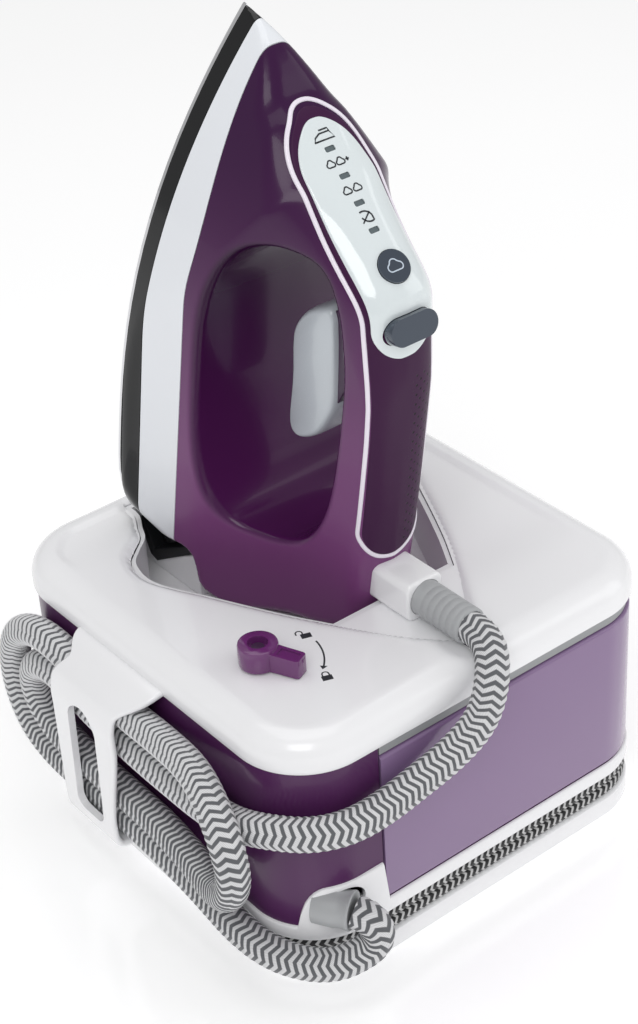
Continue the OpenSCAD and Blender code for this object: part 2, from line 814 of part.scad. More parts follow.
module iron_body() {
    color(purple) in_frame() difference() {
        docked() difference() {
            intersection() {
                iron_form();
                translate([-100, -300, split_v]) cube([200, 300, 120]);
            }
            translate([-100, -257, split_v - 1]) cube([200, 3, 3]);
            finger_hole(0, 80);
            difference() {
                loop_plan(ring_half + 0.2, ring_top_s - 0.2, ring_end_s + 0.2);
                lowered(skin + 0.1);
            }
            // hollow of the body, of the front pillar and handle, and of the rear pillar
            translate([-34, -236, split_v - 1]) cube([68, 176, 7]);
            difference() {
                intersection() {
                    translate([0, -6, -4]) iron_form();
                    union() {
                        block([-15, -256, 50], [15, -42, 119]);
                        block([-15, -249, split_v + 4], [15, -42, 51]);
                        block([-15, -256, 100], [15, -222, 123.5]);
                    }
                }
                finger_hole(3.5, 30);
                translate([-20, -60, 0]) cube([40, 20, 62]);
            }
            block([-15, -249, split_v - 1], [15, -234, split_v + 19]);
            trigger_bay();
            rod([-16, -trigger_s, trigger_v], [0, 90, 0], pin_r, 32);
            on_panel(power_d) translate([0, 0, -7]) cylinder(r = power_r + 0.25, h = 10);
            on_panel(44) block([-13, -37, -board_deep - 1.6], [13, 31, -skin + 0.8]);
            on_bend() mode_plan(0.25, 7);
        }
        connector_form(0.05);
    }
}

module trim_ring() {
    color([0.95, 0.92, 0.95]) in_frame() docked() difference() {
        intersection() {
            iron_form();
            loop_plan(ring_half, ring_top_s, ring_end_s);
        }
        loop_plan(ring_half - 2.4, ring_top_s + 2.6, ring_end_s - 2.6);
        lowered(skin);
    }
}

panel_half = 17;
panel_top_s = 29.6;
panel_end_s = 106;

module handle_grip() {
    color(grip_purple) in_frame() docked() difference() {
        intersection() {
            iron_form();
            loop_plan(ring_half - 2.5, ring_top_s + 2.7, ring_end_s - 2.7);
        }
        loop_plan(panel_half + 0.1, panel_top_s - 0.1, panel_end_s + 0.1);
        lowered(skin);
    }
}

power_d = 71.5;
power_r = 7.4;
mode_s = 90;
mode_v = 124.4;
mode_tilt = -24;
mode_half = 12.5;

// A place over the bend of the panel, with +Z out of it
module on_bend() {
    translate([0, -mode_s, mode_v]) rotate([mode_tilt, 0, 0]) children();
}

module mode_plan(grow, h) {
    translate([0, 0, -h]) linear_extrude(2 * h) union() {
        square([2 * (mode_half - 6), 12 + 2 * grow], center = true);
        for (s = [-1, 1]) translate([s * (mode_half - 6), 0]) circle(6 + grow);
    }
}

led_w = 7;
led_h = 3.4;
led_first = 16;
led_step = 12.8;

module handle_panel() {
    color(white) in_frame() docked() difference() {
        intersection() {
            iron_form();
            loop_plan(panel_half, panel_top_s, panel_end_s);
        }
        lowered(skin);
        on_panel(power_d) cylinder(r = power_r + 0.25, h = 20, center = true);
        on_bend() mode_plan(0.25, 8);
        for (i = [0 : 3]) on_panel(led_first + led_step * i) cube([led_w, led_h, 20], center = true);
    }
}

module led_lenses() {
    color([0.35, 0.4, 0.42]) in_frame() docked() for (i = [0 : 3])
        on_panel(led_first + led_step * i) translate([0, 0, -1.6])
            cube([led_w - 0.2, led_h - 0.2, 3.4], center = true);
}

module power_button() {
    color([0.2, 0.22, 0.26]) in_frame() docked() on_panel(power_d) {
        translate([0, 0, -3.4]) cylinder(r = power_r, h = 4.8);
    }
}

module mode_button() {
    color([0.2, 0.22, 0.26]) in_frame() docked() on_bend() intersection() {
        mode_plan(0, 20);
        translate([-20, -20, -3.6]) cube([40, 40, 5]);
    }
}

board_deep = 7.6;

module iron_board() {
    color([0.1, 0.35, 0.2]) in_frame() docked() on_panel(44) translate([-12, -36, -board_deep])
        cube([24, 66, 1.6]);
}

trigger_s = 106;
trigger_v = 108;
pin_r = 2;
// The trigger in the side view: distance from the nose, height
trigger_side = [[101, 110], [100, 92], [103, 80], [110, 70], [122, 63.5], [140, 62], [160, 63], [174, 66],
    [180, 71], [178, 78], [168, 86], [152, 94], [134, 100], [116, 103], [112, 110], [106, 112.5]];
trigger_half = 11;

module trigger_bay() {
    rotate([90, 0, 90]) linear_extrude(2 * trigger_half + 1, center = true)
        polygon([[-97, 60], [-97, 114.5], [-118, 114.5], [-124, 110], [-166, 110], [-184, 104], [-184, 60]]);
}

module trigger() {
    color([0.68, 0.71, 0.75]) in_frame() docked() difference() {
        rotate([90, 0, 90]) linear_extrude(2 * trigger_half, center = true)
            polygon([for (p = trigger_side) [-p[0], p[1]]]);
        rod([-24, -trigger_s, trigger_v], [0, 90, 0], pin_r + 0.06, 48);
        translate([-4, -trigger_s - 8, trigger_v - 5]) cube([8, 14, 20]);
    }
}

module trigger_pin() {
    color(steel) in_frame() docked() rod([-16, -trigger_s, trigger_v], [0, 90, 0], pin_r, 32);
}

module trigger_spring() {
    color(steel) in_frame() docked() translate([0, -trigger_s, trigger_v]) rotate([0, 90, 0])
        for (i = [-2 : 2]) translate([0, 0, i * 1.1]) rotate_extrude() translate([3, 0]) circle(0.6);
}

module trigger_switch() {
    color(black) in_frame() docked() {
        translate([-5, -162, 111]) cube([10, 16, 7]);
        translate([0, -154, 107.5]) cylinder(r = 1.5, h = 3.6);
    }
}

iron_tube_route = [[0, -229.5, 123], [0, -231, 116], [0, -239, 107], [0, -247, 94], [0, -248, 70],
    [0, -243, 46], [0, -226, 26], [0, -206, 22], [0, -200, 18], [0, -200, 14]];

module iron_tube() {
    color([0.8, 0.8, 0.78]) in_frame() docked() sweep(smooth(iron_tube_route, 3), 2.6, 8, [1, 0, 0]);
}

module hose_connector() {
    color(white) in_frame() difference() {
        connector_form(0);
        docked() translate([-15, -256, 0]) cube([30, 40, 123]);
        rod([iron_x, -60, hose_rest_z], [90, 0, 0], 6.5, 20);
        rod([iron_x, -30, hose_rest_z], [90, 0, 0], 3, 32);
    }
}

module hose_sleeve() {
    color(grey) in_frame() difference() {
        union() {
            rod([iron_x, -66, hose_rest_z], [90, 0, 0], 6.45, 13);
            rod([iron_x, -78, hose_rest_z], [90, 0, 0], 9, 20);
        }
        rod([iron_x, -60, hose_rest_z], [90, 0, 0], 3, 37);
    }
}

rubber_feet();
base_tray();
housing();
top_cover();
dock_well();
heat_cradle();
lock_lever();
lock_cam();
water_tank();
tank_valve();
tank_inlet();
hose_hook();
hose_gland();
boiler();
boiler_heater();
safety_valve();
boiler_thermostat();
pump();
pump_mounts();
solenoid_valve();
control_board();
water_tube();
feed_tube();
steam_pipe();
tray_screws();
cover_screws();
mains_gland();
mains_cord_coil();
mains_cord_tail();
mains_plug();
steam_hose();
soleplate();
steam_chamber();
sole_heater();
thermal_fuse();
sole_skirt();
white_skirt();
heel_rest();
iron_body();
trim_ring();
handle_grip();
handle_panel();
power_button();
mode_button();
led_lenses();
iron_board();
trigger();
trigger_pin();
trigger_spring();
trigger_switch();
iron_tube();
hose_connector();
hose_sleeve();
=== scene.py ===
"""Steam generator iron: the looks of the station, the docked iron, the steam hose and the mains lead."""

import math

import bmesh
import bpy
import numpy as np
from mathutils import Matrix, Vector


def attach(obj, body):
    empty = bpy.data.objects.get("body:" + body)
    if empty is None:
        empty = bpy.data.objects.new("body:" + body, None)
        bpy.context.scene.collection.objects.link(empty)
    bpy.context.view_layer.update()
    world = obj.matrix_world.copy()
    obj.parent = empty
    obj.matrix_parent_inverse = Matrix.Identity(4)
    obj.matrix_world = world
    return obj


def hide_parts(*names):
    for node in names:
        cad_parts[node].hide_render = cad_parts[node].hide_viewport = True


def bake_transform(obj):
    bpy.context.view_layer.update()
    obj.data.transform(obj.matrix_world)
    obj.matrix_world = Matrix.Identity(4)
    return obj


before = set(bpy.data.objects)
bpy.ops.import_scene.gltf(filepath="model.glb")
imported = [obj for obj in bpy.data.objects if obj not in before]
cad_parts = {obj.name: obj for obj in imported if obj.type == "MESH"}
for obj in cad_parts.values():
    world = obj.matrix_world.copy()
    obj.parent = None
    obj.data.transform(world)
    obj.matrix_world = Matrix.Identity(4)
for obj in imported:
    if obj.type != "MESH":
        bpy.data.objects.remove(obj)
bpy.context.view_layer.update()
scene = bpy.context.scene

# The shapes below are drawn in millimetres from the station's centre, which lies this far along +X.
SHIFT = np.array([10.5, 0.0, 0.0])
# The iron is drawn flat on its sole: x sideways, s back from the nose tip, v up from the sole.
IRON_AT = np.array([3.0, 37.0, 397.0])
LEAN = math.radians(12)


def to_row(points):
    """Millimetres from the station's centre to metres in the row frame."""
    return (np.asarray(points, float) + SHIFT) / 1000


def docked(points):
    """The iron's own x, s, v to millimetres from the station's centre."""
    p = np.asarray(points, float)
    x, s, v = p[..., 0], p[..., 1], p[..., 2]
    y = s * math.sin(LEAN) - v * math.cos(LEAN)
    z = -s * math.cos(LEAN) - v * math.sin(LEAN)
    return np.stack([x, y, z], -1) + IRON_AT


# ---------- camera, lights and floor ----------


def add_object(name, data):
    """A new object in the scene that shows the data."""
    made = bpy.data.objects.new(name, data)
    scene.collection.objects.link(made)
    return made


def make_camera():
    """The photograph's camera, as fitted to the station's edges."""
    data = bpy.data.cameras.new("camera")
    data.lens = 75.15
    data.sensor_width = 36
    data.clip_start = 0.01
    data.clip_end = 50
    camera = add_object("camera", data)
    right = Vector((0.7801, -0.6232, -0.0548))
    up = Vector((0.3806, 0.4031, 0.8323))
    back = Vector((-0.4966, -0.6701, 0.5517))
    turn = Matrix((right, up, back)).transposed().to_quaternion()
    camera.matrix_world = Matrix.Translation((-0.4837, -0.6633, 0.7084)) @ turn.to_matrix().to_4x4()
    scene.camera = camera


def area_light(name, place, target, size, watts):
    """A rectangular light at a place in metres, aimed at a target."""
    data = bpy.data.lights.new(name, "AREA")
    data.shape = "RECTANGLE"
    data.size, data.size_y = size
    data.energy = watts
    light = add_object(name, data)
    light.location = place
    light.rotation_mode = "QUATERNION"
    light.rotation_quaternion = (Vector(target) - Vector(place)).to_track_quat("-Z", "Y")


def make_lights():
    """Three large soft lights and an even white surround."""
    area_light("key", (-1.0, -1.0, 1.5), (0, 0, 0.15), (0.9, 0.9), 9)
    area_light("top", (0.1, 0.2, 1.8), (0, 0, 0.1), (1.4, 1.4), 7)
    area_light("fill", (1.4, -1.1, 0.8), (0, 0, 0.2), (1.0, 1.4), 5)
    world = bpy.data.worlds.new("studio")
    world.use_nodes = True
    world.node_tree.nodes["Background"].inputs[0].default_value = (1, 1, 1, 1)
    world.node_tree.nodes["Background"].inputs[1].default_value = 0.5
    scene.world = world
    scene.view_settings.view_transform = "Standard"


# ---------- materials ----------


def srgb(r, g, b):
    """A colour from its 0 to 255 screen values."""
    out = []
    for c in (r, g, b):
        c = c / 255
        out.append(c / 12.92 if c <= 0.04045 else ((c + 0.055) / 1.055) ** 2.4)
    return (*out, 1)


def new_material(name):
    m = bpy.data.materials.new(name)
    m.use_nodes = True
    return m, m.node_tree, m.node_tree.nodes["Principled BSDF"]


def node(tree, kind, **settings):
    n = tree.nodes.new(kind)
    for key, value in settings.items():
        setattr(n, key, value)
    return n


def calc(tree, operation, a, b=None, c=None):
    """A Math node; a, b and c are sockets or numbers."""
    n = node(tree, "ShaderNodeMath", operation=operation)
    for i, value in enumerate((a, b, c)):
        if value is None:
            continue
        if isinstance(value, (int, float)):
            n.inputs[i].default_value = value
        else:
            tree.links.new(value, n.inputs[i])
    return n.outputs[0]


def mixed(tree, factor, a, b):
    """A colour between a and b; each is a colour or a socket."""
    n = node(tree, "ShaderNodeMix", data_type="RGBA")
    tree.links.new(factor, n.inputs["Factor"])
    for socket, value in ((n.inputs[6], a), (n.inputs[7], b)):
        if isinstance(value, tuple):
            socket.default_value = value
        else:
            tree.links.new(value, socket)
    return n.outputs[2]


def ramp(tree, value, low, high):
    """0 below low and 1 above high, smoothly between."""
    n = node(tree, "ShaderNodeMapRange", interpolation_type="SMOOTHSTEP")
    tree.links.new(value, n.inputs[0])
    n.inputs[1].default_value = low
    n.inputs[2].default_value = high
    return n.outputs[0]


def span(tree, value, low, high):
    """A 0 to 1 value stretched to run from low to high."""
    n = node(tree, "ShaderNodeMapRange")
    tree.links.new(value, n.inputs[0])
    n.inputs[3].default_value = low
    n.inputs[4].default_value = high
    return n.outputs[0]


def noise(tree, scale, detail=3.0):
    coords = node(tree, "ShaderNodeTexCoord")
    n = node(tree, "ShaderNodeTexNoise")
    n.inputs["Scale"].default_value = scale
    n.inputs["Detail"].default_value = detail
    tree.links.new(coords.outputs["Object"], n.inputs["Vector"])
    return n.outputs[0]


def add_bump(tree, shader, height, strength, distance):
    n = node(tree, "ShaderNodeBump")
    n.inputs["Strength"].default_value = strength
    n.inputs["Distance"].default_value = distance
    tree.links.new(height, n.inputs["Height"])
    tree.links.new(n.outputs[0], shader.inputs["Normal"])


def moulded(name, colour, rough, grain=1400.0, bump=0.05, coat=0.0, metal=0.0, vary=0.06, **extra):
    """Moulded plastic, rubber or metal: a little colour drift, uneven gloss and a fine surface grain."""
    m, tree, shader = new_material(name)
    drift = noise(tree, 18, 2)
    darker = tuple(c * (1 - vary) for c in colour[:3]) + (1,)
    tree.links.new(mixed(tree, drift, darker, colour), shader.inputs["Base Color"])
    fine = noise(tree, grain, 2)
    tree.links.new(span(tree, fine, rough * 0.85, rough * 1.15), shader.inputs["Roughness"])
    add_bump(tree, shader, fine, bump, 0.0002)
    shader.inputs["Metallic"].default_value = metal
    shader.inputs["Coat Weight"].default_value = coat
    shader.inputs["Coat Roughness"].default_value = 0.04
    for key, value in extra.items():
        shader.inputs[key.replace("_", " ")].default_value = value
    return m


def tri_wave(tree, value):
    """A saw of value, folded to a triangle between 0 and 1."""
    saw = calc(tree, "MULTIPLY", calc(tree, "FRACT", value), 2)
    return calc(tree, "ABSOLUTE", calc(tree, "SUBTRACT", saw, 1))


def split(tree, socket):
    """The x, y and z of a vector socket."""
    parts = node(tree, "ShaderNodeSeparateXYZ")
    tree.links.new(socket, parts.inputs[0])
    return parts.outputs


def from_middle(tree, value, pitch):
    """How far value, counted in pitches, lies from the middle of its pitch."""
    return calc(tree, "MULTIPLY", calc(tree, "SUBTRACT", calc(tree, "FRACT", value), 0.5), pitch)


def braid(name, pitch, zigzags, lean, dark, light, share):
    """A braided sleeve: zigzag stripes round the tube, from the UV's turn and its length in metres."""
    m, tree, shader = new_material(name)
    uv = node(tree, "ShaderNodeUVMap", uv_map="UVMap")
    turn, along, _ = split(tree, uv.outputs[0])
    zig = tri_wave(tree, calc(tree, "MULTIPLY", turn, zigzags))
    wobble = calc(tree, "MULTIPLY", noise(tree, 90, 2), 0.25)
    phase = calc(tree, "ADD", calc(tree, "DIVIDE", along, pitch), calc(tree, "MULTIPLY", zig, lean))
    stripe = tri_wave(tree, calc(tree, "ADD", phase, wobble))
    colour = mixed(tree, ramp(tree, stripe, share - 0.1, share + 0.1), dark, light)
    threads_round = calc(tree, "MULTIPLY", turn, zigzags * 12)
    threads_along = calc(tree, "MULTIPLY", along, 900)
    thread = tri_wave(tree, calc(tree, "ADD", threads_round, threads_along))
    shade = span(tree, thread, 0.72, 1.0)
    mixer = node(tree, "ShaderNodeMix", data_type="RGBA", blend_type="MULTIPLY")
    mixer.inputs["Factor"].default_value = 1.0
    tree.links.new(colour, mixer.inputs[6])
    tree.links.new(shade, mixer.inputs[7])
    tree.links.new(mixer.outputs[2], shader.inputs["Base Color"])
    tree.links.new(span(tree, thread, 0.6, 0.85), shader.inputs["Roughness"])
    add_bump(tree, shader, calc(tree, "ADD", stripe, calc(tree, "MULTIPLY", thread, 0.4)), 0.6, 0.0004)
    shader.inputs["Sheen Weight"].default_value = 0.2
    return m


def grip_material():
    """Soft-touch purple with rows of small dimples down the handle's right side."""
    m, tree, shader = new_material("grip purple")
    uv = node(tree, "ShaderNodeUVMap", uv_map="UVMap")
    across, along, _ = split(tree, uv.outputs[0])
    row_pitch, dot_pitch = 2.2, 5.0
    row = calc(tree, "DIVIDE", across, row_pitch)
    odd = calc(tree, "MULTIPLY", calc(tree, "FLOOR", row), 0.5)
    step = calc(tree, "ADD", calc(tree, "DIVIDE", along, dot_pitch), odd)
    from_x = from_middle(tree, row, row_pitch)
    from_s = from_middle(tree, step, dot_pitch)
    squares = [calc(tree, "MULTIPLY", value, value) for value in (from_x, from_s)]
    far = calc(tree, "SQRT", calc(tree, "ADD", *squares))
    dots = calc(tree, "SUBTRACT", 1.0, ramp(tree, far, 0.45, 0.75))
    zone = calc(tree, "MULTIPLY", ramp(tree, across, 3.5, 4.0), ramp(tree, along, 116.0, 118.0))
    dots = calc(tree, "MULTIPLY", dots, zone)
    base = mixed(tree, noise(tree, 25, 2), srgb(54, 14, 56), srgb(64, 22, 64))
    tree.links.new(mixed(tree, dots, base, srgb(20, 6, 22)), shader.inputs["Base Color"])
    fine = noise(tree, 2200, 2)
    tree.links.new(span(tree, fine, 0.38, 0.5), shader.inputs["Roughness"])
    shader.inputs["Specular IOR Level"].default_value = 0.2
    add_bump(tree, shader, calc(tree, "SUBTRACT", calc(tree, "MULTIPLY", fine, 0.15), dots), 0.5, 0.0003)
    return m


def body_material():
    """The iron's glossy purple, with painted light: lighter low down, towards the heel, and painted shade in
    the finger hole.
    """
    m, tree, shader = new_material("body purple")
    coords = node(tree, "ShaderNodeTexCoord")
    _, _, height = split(tree, coords.outputs["Object"])
    # Painted light: the purple is painted lighter towards the bottom and darker towards the top, following
    # how light falls on the sides
    low = calc(tree, "SUBTRACT", 1.0, ramp(tree, height, 0.17, 0.36))
    base = mixed(tree, low, srgb(54, 12, 60), srgb(120, 66, 118))
    painted_hole_shade = mixed(tree, low, srgb(26, 3, 30), srgb(74, 24, 76))
    # Painted shade: slice_form marks the inside of the finger hole, which gets the darker purple
    inner = node(tree, "ShaderNodeAttribute", attribute_name="inner").outputs["Fac"]
    tree.links.new(mixed(tree, inner, base, painted_hole_shade), shader.inputs["Base Color"])
    fine = noise(tree, 1600, 2)
    tree.links.new(span(tree, fine, 0.2, 0.26), shader.inputs["Roughness"])
    add_bump(tree, shader, fine, 0.02, 0.0001)
    shader.inputs["Specular IOR Level"].default_value = 0.2
    shader.inputs["Coat Weight"].default_value = 0.2
    shader.inputs["Coat Roughness"].default_value = 0.06
    return m


def steel_material(name, colour, rough, stretch):
    """Drawn or polished metal with fine lines in one direction."""
    m, tree, shader = new_material(name)
    coords = node(tree, "ShaderNodeTexCoord")
    scaled = node(tree, "ShaderNodeMapping")
    scaled.inputs["Scale"].default_value = stretch
    tree.links.new(coords.outputs["Object"], scaled.inputs[0])
    lines = node(tree, "ShaderNodeTexNoise")
    lines.inputs["Scale"].default_value = 60
    tree.links.new(scaled.outputs[0], lines.inputs["Vector"])
    shader.inputs["Metallic"].default_value = 1.0
    darker = tuple(c * 0.88 for c in colour[:3]) + (1,)
    tree.links.new(mixed(tree, lines.outputs[0], darker, colour), shader.inputs["Base Color"])
    tree.links.new(span(tree, lines.outputs[0], rough * 0.7, rough * 1.3), shader.inputs["Roughness"])
    add_bump(tree, shader, lines.outputs[0], 0.05, 0.0002)
    return m


# How each braid's zigzag runs: its pitch in metres, the zigzags round the tube and their lean
HOSE_BRAID = (0.0035, 5, 0.6)
LEAD_BRAID = (0.0038, 4, 0.5)
MATERIALS = {
    "white": moulded("white plastic", srgb(250, 250, 252), 0.22, coat=0.4, vary=0.02),
    "skirt": moulded("iron white", srgb(238, 241, 246), 0.18, coat=0.5, vary=0.02),
    "housing": moulded("housing purple", srgb(80, 32, 84), 0.3, bump=0.05, coat=0.2, Specular_IOR_Level=0.3),
    "body": body_material(),
    "grip": grip_material(),
    "panel": moulded("panel white", srgb(228, 236, 238), 0.14, coat=0.8, vary=0.02),
    "ring": moulded("ring white", srgb(243, 236, 247), 0.25, coat=0.3, vary=0.02),
    "tank": moulded(
        "violet clear", srgb(146, 116, 160), 0.24, grain=300, bump=0.01, coat=0.4, vary=0.05,
        Transmission_Weight=0.15,
    ),
    "lever": moulded("lever purple", srgb(120, 52, 122), 0.2, coat=0.5, Transmission_Weight=0.2),
    "lining": moulded("dock grey", srgb(238, 238, 240), 0.4, bump=0.1),
    "grey": moulded("grey plastic", srgb(158, 160, 162), 0.42, bump=0.1),
    "light_grey": moulded("light grey plastic", srgb(178, 180, 182), 0.45, bump=0.1),
    "black": moulded("black gloss", srgb(14, 15, 17), 0.14, coat=0.3, Specular_IOR_Level=0.3),
    "cradle": moulded("cradle black", srgb(30, 31, 34), 0.4, bump=0.15, Specular_IOR_Level=0.3),
    "rubber": moulded("black rubber", srgb(30, 30, 31), 0.62, grain=900, bump=0.25),
    "dark": moulded("dark metallic", srgb(60, 70, 84), 0.18, coat=0.6, metal=0.3),
    "lens": moulded("smoked lens", srgb(96, 108, 112), 0.2, coat=0.6),
    "trigger": moulded("trigger grey", srgb(206, 213, 219), 0.26, coat=0.5, vary=0.03),
    "stem": moulded("trigger stem", srgb(66, 40, 70), 0.35),
    "print": moulded("printed ink", srgb(44, 47, 52), 0.5),
    "glow": moulded("pale icon", srgb(200, 212, 226), 0.4),
    "sole": steel_material("polished sole", (0.78, 0.78, 0.8, 1), 0.14, (1, 30, 1)),
    "steel": steel_material("brushed steel", (0.62, 0.62, 0.64, 1), 0.3, (30, 1, 1)),
    "cast": moulded("cast aluminium", (0.5, 0.5, 0.52, 1), 0.5, grain=500, bump=0.4, metal=0.9),
    "brass": moulded("brass", (0.7, 0.5, 0.24, 1), 0.3, metal=1.0),
    "board": moulded("circuit board", (0.03, 0.15, 0.07, 1), 0.4),
    "tube": moulded("silicone tube", (0.66, 0.66, 0.63, 1), 0.4, Subsurface_Weight=0.1),
    "hose": braid("hose braid", *HOSE_BRAID, srgb(104, 106, 110), srgb(238, 238, 240), 0.48),
    "lead": braid("lead braid", *LEAD_BRAID, srgb(26, 26, 29), srgb(222, 222, 222), 0.62),
}  # fmt: skip


# ---------- mesh helpers ----------


def make(name, points, faces, body, material, nodes=(), slot=None, sharp=35.0, bevel=0.0):
    """A piece from points in millimetres, riding on a body and standing for CAD nodes."""
    piece = solid(points, faces, name)
    finish_piece(piece, body, material, nodes, slot, sharp, bevel)
    return piece


def tidy(mesh):
    """Joins doubled points and turns every face outward."""
    bm = bmesh.new()
    bm.from_mesh(mesh)
    bmesh.ops.remove_doubles(bm, verts=bm.verts, dist=1e-6)
    bmesh.ops.recalc_face_normals(bm, faces=bm.faces)
    bm.to_mesh(mesh)
    bm.free()


def finish_piece(piece, body, material, nodes, slot, sharp=35.0, bevel=0.0):
    """Gives a piece its look, body and CAD nodes; bevel is in millimetres, and slot is not used."""
    mesh = piece.data
    mesh.materials.clear()
    mesh.materials.append(MATERIALS[material])
    mesh.polygons.foreach_set("use_smooth", [True] * len(mesh.polygons))
    mesh.set_sharp_from_angle(angle=math.radians(sharp))
    if bevel:
        add_bevel(piece, bevel)
    if body:
        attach(piece, body)
    if nodes:
        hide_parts(*nodes)


def name_and_finish(piece, name, *looks, **extra):
    """finish_piece for a solid that has been cut or joined."""
    piece.name = name
    finish_piece(piece, *looks, **extra)


def add_bevel(piece, width, angle=38.0):
    """Rounds the piece's sharp edges, width in millimetres."""
    m = piece.modifiers.new("bevel", "BEVEL")
    m.width = width / 1000
    m.segments = 3
    m.limit_method = "ANGLE"
    m.angle_limit = math.radians(angle)
    m.harden_normals = False


def boolean(piece, cutter, operation="DIFFERENCE"):
    """Cuts or joins piece with cutter, applies it and removes the cutter."""
    m = piece.modifiers.new("cut", "BOOLEAN")
    m.operation = operation
    m.object = cutter
    m.solver = "MANIFOLD"
    graph = bpy.context.evaluated_depsgraph_get()
    mesh = bpy.data.meshes.new_from_object(piece.evaluated_get(graph))
    if len(mesh.polygons) < 4:
        m.solver = "EXACT"
        graph = bpy.context.evaluated_depsgraph_get()
        mesh = bpy.data.meshes.new_from_object(piece.evaluated_get(graph))
    piece.modifiers.remove(m)
    piece.data = mesh
    bpy.data.objects.remove(cutter)


def solid(points, faces, name="cutter"):
    """A loose solid, in millimetres, for cutting, joining or finishing."""
    mesh = bpy.data.meshes.new(name)
    mesh.from_pydata(to_row(points).tolist(), [], faces)
    piece = add_object(name, mesh)
    tidy(mesh)
    return piece


def cut(piece, shape):
    """Cuts a shape, given as its points and faces, out of piece."""
    boolean(piece, solid(*shape))


def box(low, high):
    x, y, z = zip(low, high)
    points = [(a, b, c) for a in x for b in y for c in z]
    faces = [(0, 1, 3, 2), (4, 6, 7, 5), (0, 4, 5, 1), (2, 3, 7, 6), (0, 2, 6, 4), (1, 5, 7, 3)]
    return solid(points, faces)


def loft(rings, caps=True):
    """Points and faces of a skin through rings of the same count."""
    n = len(rings[0])
    points = np.concatenate(rings)
    faces = []
    for i in range(len(rings) - 1):
        for k in range(n):
            a, b = i * n + k, i * n + (k + 1) % n
            faces.append((a, b, b + n, a + n))
    if caps:
        faces.append(tuple(range(n)))
        faces.append(tuple(range(len(points) - n, len(points))))
    return points, faces


def unit(rows):
    """Each row as a vector of length 1."""
    return rows / np.linalg.norm(rows, axis=1)[:, None]


def run_length(line):
    """How far along the line each of its points is."""
    return np.concatenate([[0], np.cumsum(np.linalg.norm(np.diff(line, axis=0), axis=1))])


def circle(count):
    """Points of a circle of radius 1."""
    angle = np.linspace(0, 2 * math.pi, count, endpoint=False)
    return np.stack([np.cos(angle), np.sin(angle)], -1)


def arc(cx, cy, r, start, end, count=18):
    """Points of an arc; start and end are in degrees."""
    a = np.linspace(start, end, count) * math.pi / 180
    return np.stack([cx + r * np.cos(a), cy + r * np.sin(a)], -1)


def upright(p):
    """A shape's (a, b, height) as they are."""
    return p


def pushed_in_x(p):
    """A shape drawn in y and z, its height along x."""
    return np.stack([p[:, 2], p[:, 0], p[:, 1]], -1)


def prism(outline, low, high, place=upright):
    """An outline pushed from low to high; place turns (a, b, height) into millimetres."""
    a, b = outline[:, 0], outline[:, 1]
    rings = [place(np.stack([a, b, np.full(len(a), h)], -1)) for h in (low, high)]
    return loft(rings)


def spline(points, step, closed=False):
    """Even points along a smooth line through the given ones."""
    p = np.asarray(points, float)
    if closed:
        p = np.concatenate([p[-1:], p, p[:2]])
    else:
        p = np.concatenate([2 * p[:1] - p[1:2], p, 2 * p[-1:] - p[-2:-1]])
    gaps = np.sqrt(np.linalg.norm(np.diff(p, axis=0), axis=1)) + 1e-9
    knots = np.concatenate([[0], np.cumsum(gaps)])
    dense = []
    for i in range(1, len(p) - 2):
        t0, t1, t2, t3 = knots[i - 1 : i + 3]
        t = np.linspace(t1, t2, 24, endpoint=False)[:, None]
        a1 = (t1 - t) / (t1 - t0) * p[i - 1] + (t - t0) / (t1 - t0) * p[i]
        a2 = (t2 - t) / (t2 - t1) * p[i] + (t - t1) / (t2 - t1) * p[i + 1]
        a3 = (t3 - t) / (t3 - t2) * p[i + 1] + (t - t2) / (t3 - t2) * p[i + 2]
        b1 = (t2 - t) / (t2 - t0) * a1 + (t - t0) / (t2 - t0) * a2
        b2 = (t3 - t) / (t3 - t1) * a2 + (t - t1) / (t3 - t1) * a3
        dense.append((t2 - t) / (t2 - t1) * b1 + (t - t1) / (t2 - t1) * b2)
    dense.append(p[len(p) - 2 : len(p) - 1])
    return even(np.concatenate(dense), step, closed)


def even(line, step, closed=False):
    """The same line with evenly spaced points."""
    length = run_length(line)
    count = max(4, int(round(length[-1] / step)))
    at = np.linspace(0, length[-1], count, endpoint=not closed)
    return np.stack([np.interp(at, length, line[:, i]) for i in range(line.shape[1])], -1)


def relaxed(line, rounds):
    """The line with its tight bends eased; its ends stay."""
    line = line.copy()
    for _ in range(rounds):
        line[1:-1] = line[1:-1] * 0.5 + (line[:-2] + line[2:]) * 0.25
    return line


def distance(points, outline):
    """Signed distance from points to a closed outline, both in a plane: negative inside."""
    best = np.full(len(points), 1e9)
    inside = np.zeros(len(points), bool)
    px, py = points[:, 0], points[:, 1]
    for a, b in zip(outline, np.roll(outline, -1, axis=0)):
        d = b - a
        size = max(d @ d, 1e-12)
        t = np.clip(((px - a[0]) * d[0] + (py - a[1]) * d[1]) / size, 0, 1)
        best = np.minimum(best, (px - a[0] - t * d[0]) ** 2 + (py - a[1] - t * d[1]) ** 2)
        crosses = (a[1] > py) != (b[1] > py)
        if abs(d[1]) > 1e-12:
            inside ^= crosses & (px < d[0] * (py - a[1]) / d[1] + a[0])
    best = np.sqrt(best)
    return np.where(inside, -best, best)


def smoothstep(low, high, value):
    t = np.clip((value - low) / (high - low), 0, 1)
    return t * t * (3 - 2 * t)


def frames(line):
    """Headings and two side directions along a line, carried without twist."""
    heading = unit(np.gradient(line, axis=0))
    side = np.array([0.0, 0.0, 1.0])
    if abs(heading[0] @ side) > 0.9:
        side = np.array([1.0, 0.0, 0.0])
    sides = []
    for h in heading:
        side = side - (side @ h) * h
        side /= np.linalg.norm(side)
        sides.append(side)
    sides = np.array(sides)
    return heading, sides, np.cross(heading, sides)


def corner_points(mesh):
    """The number of the point at each face corner."""
    corner = np.zeros(len(mesh.loops), int)
    mesh.loops.foreach_get("vertex_index", corner)
    return corner


